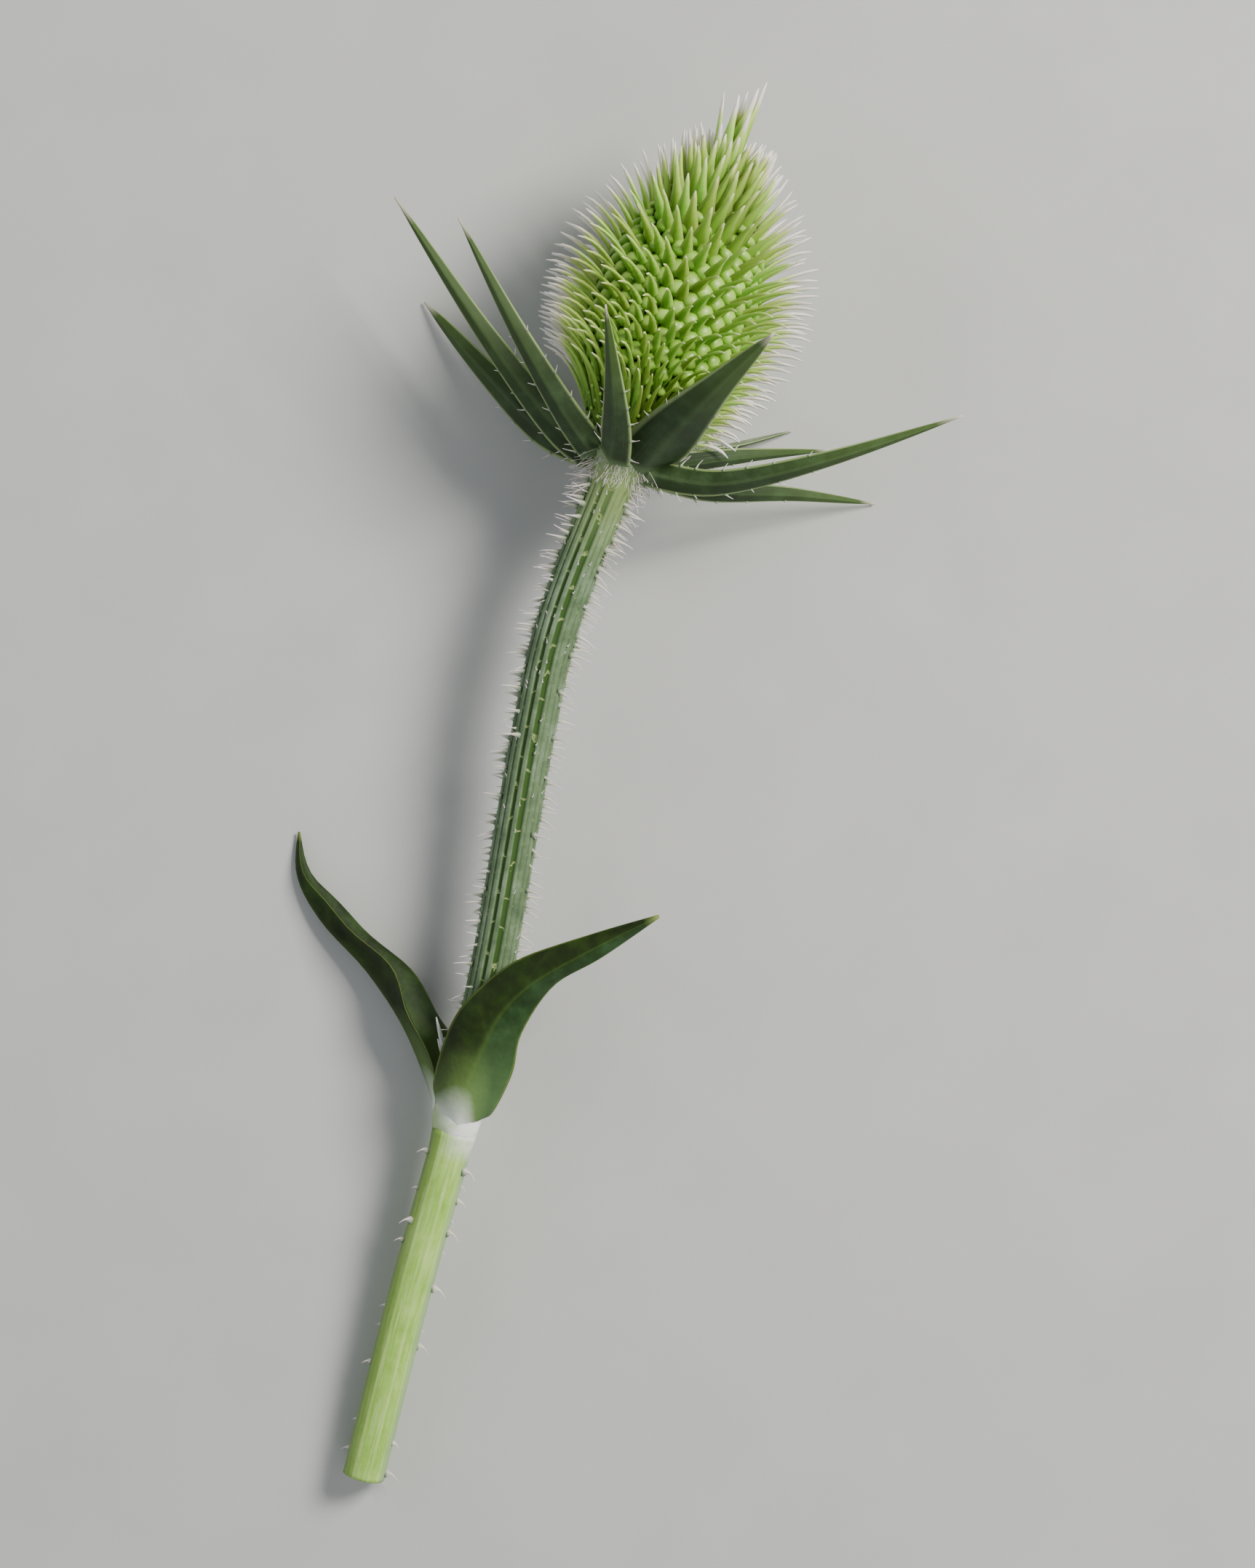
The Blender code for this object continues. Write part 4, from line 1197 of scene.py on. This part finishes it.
draw = random.Random(HOOK_SEED)
for sideways, hooks in ((1, HOOKS_RIGHT), (-1, HOOKS_LEFT), (0, HOOKS_UNDER)):
    for along, size in hooks:
        if sideways:
            turn = math.pi * (0.5 - 0.5 * sideways) + draw.gauss(0.0, 0.2)
        else:
            turn = draw.uniform(3.8, 5.6)
        share = LOWER_STEM_SPAN[1] * along
        tangent, up, side = stem_frame(share)[1:]
        out = side * math.cos(turn) + up * math.sin(turn)
        foot = on_stem(share, turn, lower_radius(along, turn))
        hook = prickle_rule(foot, out + tangent * 0.35, tangent * -0.75, size, 0.2 + 0.3 * size, 0.055)
        if (foot + (out - tangent * 0.3) * size * MM).z > FLOOR_CLEARANCE:
            grow(bm, NEEDLE, hook, material=2, tint=draw.random(), ripen=0.45)
finish_piece(bm, "lower_stem_with_cut", [stem_skin, pith, prickle], ["lower_stem"])

# %% [markdown]
# ## Node
#
# Where the leaf pair joins, the stem swells into a white collar. The collar is fuller on the two
# sides that the leaves leave from, which makes them look grown and not glued on.

# %% Grow the node
NODE_ENDS = 0.005  # how far its ends reach into the two stems, where they are hidden
NODE_OUTLINE = [(0.0, 2.7), (0.12, 2.96), (0.5, 3.12), (0.85, 3.08), (1.0, 2.8)]
LEAF_SIDES = (math.radians(85), math.radians(185))
LEAF_FOOT = 0.25  # how far the foot of each leaf swells the collar
bm = new_piece()


def node_radius(along, turn):
    """Radius of the collar, fuller where a leaf leaves from it."""
    nearest = min(turn_between(turn, one) for one in LEAF_SIDES)
    swell = LEAF_FOOT * math.exp(-((nearest / 0.7) ** 2)) * math.sin(math.pi * along)
    return outline_at(NODE_OUTLINE, along) + swell


grow(bm, NECK_TUBE, stem_rule((NODE_SPAN[0] - NODE_ENDS, NODE_SPAN[1] + NODE_ENDS), node_radius))
finish_piece(bm, "swollen_node", [node_tissue], ["leaf_node_collar"])

# %% [markdown]
# ## Leaf pair
#
# A leaf is one more pressed tube. Its margins and midrib follow the three lines of the CAD leaf. The
# midrib stands out on the lower face, the halves bulge a little between midrib and margin, and the
# margins ripple.

# %% Grow the leaves
LEAF_BLADE = tube_template("blade_of_twenty_four_sides", 34, 24)
LEAF_HALF_THICKNESS = 0.2
LEAF_RIDGE, LEAF_BELLY = 0.22, 0.12  # of the midrib in mm, and of the halves as a share of their width
RIPPLES, RIPPLE_HEIGHT, RIPPLE_START = 3.4, 0.35, 0.6
# Left margin, midrib and right margin of each leaf, seen from its foot
RIGHT_LEAF = (
    [(-25.3, -42.0, 8.3), (-25.4, -38.6, 9.2), (-23.4, -32.0, 11.6), (-20.2, -27.4, 13.4),
     (-14.1, -22.8, 15.4), (-4.5, -19.4, 18.3), (4.0, -16.9, 20.4)],
    [(-22.3, -45.4, 10.0), (-21.9, -42.2, 11.7), (-19.6, -36.2, 12.6), (-16.6, -30.2, 14.4),
     (-12.2, -25.9, 16.4), (-4.4, -21.4, 19.0), (4.1, -17.1, 20.6)],
    [(-19.4, -44.2, 8.6), (-17.6, -43.0, 9.2), (-15.1, -38.0, 11.4), (-13.7, -32.4, 13.4),
     (-9.6, -26.3, 15.8), (-3.4, -22.6, 18.4), (4.2, -17.3, 20.5)],
)
LEFT_LEAF = (
    [(-25.0, -40.0, 8.2), (-25.8, -36.9, 8.0), (-28.6, -30.2, 8.4), (-31.4, -24.0, 7.2),
     (-37.4, -18.0, 4.6), (-42.6, -12.4, 2.4), (-43.4, -6.4, 0.7)],
    [(-25.3, -43.0, 6.2), (-25.9, -40.2, 5.8), (-29.3, -31.9, 5.0), (-34.2, -24.5, 3.6),
     (-40.2, -18.0, 2.2), (-43.5, -12.0, 1.2), (-43.5, -6.3, 0.6)],
    [(-23.4, -41.6, 5.0), (-22.6, -35.5, 4.2), (-24.6, -30.6, 3.0), (-28.9, -24.6, 2.0),
     (-35.4, -18.3, 1.2), (-41.4, -12.6, 0.8), (-43.4, -6.5, 0.5)],
)


def leaf_rule(left_margin, midrib, right_margin):
    """place(along, turn) of a leaf between its two margins and its midrib."""

    def place(along, turn):
        across, lift = widen(turn), math.sin(turn)
        rib, tangent = along_line(midrib, along)
        left, right = smooth_line(left_margin, along), smooth_line(right_margin, along)
        margin = right if across > 0 else left
        here = rib.lerp(margin, abs(across))
        outward = tangent.cross(right - left).normalized()
        half = (margin - rib).length
        ridge = LEAF_RIDGE * math.exp(-((across / 0.12) ** 2)) * min(1.0, half / 3) * max(0.0, lift)
        belly = LEAF_BELLY * half * math.sin(math.pi * abs(across))
        wave = RIPPLE_HEIGHT * min(1.0, half / 3) * abs(across) ** 3
        wave *= math.sin(math.tau * RIPPLES * along + RIPPLE_START)
        push = LEAF_HALF_THICKNESS * lift * min(1.0, 0.4 + half) + ridge - belly + wave
        return rest_on_table((here + outward * push) * MM)

    return place


# The half in the light is paler, on the right leaf more so
for name, lines, bright in (("leaf_right", RIGHT_LEAF, 1.0), ("leaf_left", LEFT_LEAF, 0.3)):
    bm = new_piece()
    grow(
        bm, LEAF_BLADE, leaf_rule(*lines), across=widen,
        tint=lambda along, turn: bright * (0.5 + 0.5 * math.tanh(6 * math.cos(turn))),
    )
    finish_piece(bm, f"{name}_blade", [leaf_blade], [name])

# %% [markdown]
# ## Bud in the leaf's angle
#
# A small pointed bud stands between the left leaf and the stem. It is a short thick prickle of pale
# tissue with two narrow scales round its foot.

# %% Grow the axillary bud
SPIKE = tube_template("spike_of_eight_sides", 10, 8)
BUD_BASE, BUD_TIP = Vector((-23.9, -36.2, 6.5)), Vector((-25.1, -30.6, 8.6))
SPIKE_GIRTH, SCALE_GIRTH = 0.28, 0.24
SCALE_ASIDE = 0.2


def spike_rule(foot, direction, length, girth):
    """place(along, turn) of a spike that is thickest in its lower half."""
    direction, side, other = with_sides(direction)

    def place(along, turn):
        radius = girth * math.sin(math.pi * min(1.0, 0.25 + 0.72 * along)) ** 0.8 + 0.03
        spot = foot + direction * (length * along) + side * (radius * math.cos(turn))
        return (spot + other * (radius * math.sin(turn))) * MM

    return place


bm = new_piece()
reach = BUD_TIP - BUD_BASE
grow(bm, SPIKE, spike_rule(BUD_BASE, reach, reach.length, SPIKE_GIRTH))
for lean in (-SCALE_ASIDE, SCALE_ASIDE):
    aside = reach.cross(Vector((0, 0, 1))).normalized() * lean
    slant = reach.normalized() + aside * 0.4
    grow(bm, SPIKE, spike_rule(BUD_BASE + aside, slant, reach.length * 0.5, SCALE_GIRTH))
finish_piece(bm, "bud_in_leaf_angle", [node_tissue], ["axillary_bud"])

# %% [markdown]
# ## Table, light and camera
#
# The head lies on a plain pale table top. One large soft lamp from the upper right models the
# buds, as in the picture, and a weaker one from the left keeps the shaded side readable. The camera
# looks straight down, with the top of the picture towards +Y, through a long lens that hardly
# enlarges what stands up.

# %% Table
TABLE_HALF = 4.0
table_board, add, feed = start_material("matt_pale_table_board", specular=0.3)
here = add("TexCoord", out="Object")
grain = add("TexNoise", {"Vector": here, "Scale": 60.0, "Detail": 4.0})
feed("Base Color", add("ValToRGB", {0: grain}, stops=[(0.3, "BDBFBE"), (0.7, "C2C4C2")]))
feed("Roughness", add("MapRange", (grain, 0.0, 1.0, 0.65, 0.75)))
bm = bmesh.new()
bmesh.ops.create_grid(bm, x_segments=1, y_segments=1, size=TABLE_HALF)
mesh = bpy.data.meshes.new("table_top")
bm.to_mesh(mesh)
bm.free()
mesh.materials.append(table_board)
table = bpy.data.objects.new("table_top", mesh)
bpy.context.scene.collection.objects.link(table)
table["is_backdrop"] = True

# %% Lamps and world
LOOK_AT = Vector((0.0, 0.005, 0.015))


def add_lamp(name, place, size, power, code):
    """A square soft lamp that shines at the head."""
    data = bpy.data.lights.new(name, "AREA")
    data.shape = "SQUARE"
    data.size, data.energy, data.color = size, power, colour(code)[:3]
    lamp = bpy.data.objects.new(name, data)
    lamp.location = place
    lamp.rotation_euler = (LOOK_AT - lamp.location).to_track_quat("-Z", "Y").to_euler()
    bpy.context.scene.collection.objects.link(lamp)


add_lamp("soft_key", (0.5, 0.3, 0.56), 0.3, 10.0, "FFFAF2")
add_lamp("soft_fill", (-0.62, 0.12, 0.45), 0.5, 1.0, "F3F7FF")
add_lamp("low_front", (0.1, -0.8, 0.4), 0.4, 1.2, "FFFFFF")
world = bpy.data.worlds.new("pale_studio")
world.use_nodes = True
background = world.node_tree.nodes["Background"].inputs
background["Color"].default_value = colour("E9ECEF")
background["Strength"].default_value = 0.36
bpy.context.scene.world = world

# %% Camera
LENS = 150.0
SENSOR = 36.0
PICTURE_HEIGHT = 0.205  # metres of the table that the picture's long side takes in
FOCUS_HEIGHT = 0.012
lens = bpy.data.cameras.new("camera")
lens.lens, lens.sensor_width = LENS, SENSOR
camera = bpy.data.objects.new("camera", lens)
distance = PICTURE_HEIGHT / 2 * LENS / (SENSOR / 2)
camera.location = (0.0, 0.0, FOCUS_HEIGHT + distance)
bpy.context.scene.collection.objects.link(camera)
bpy.context.scene.camera = camera
print("camera height above the table in mm:", round(camera.location.z / MM))

# %% [markdown]
# ## Sizes of both boxes
#
# The fine pieces should fill the same box as the CAD model, and both boxes are printed.

# %% Sizes
boxes = {"cad": [list(corner) for corner in cad_box], "visual": [list(corner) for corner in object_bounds()]}
for name, (low, high) in boxes.items():
    print(name, "box in mm:", [round((b - a) / MM, 1) for a, b in zip(low, high)])
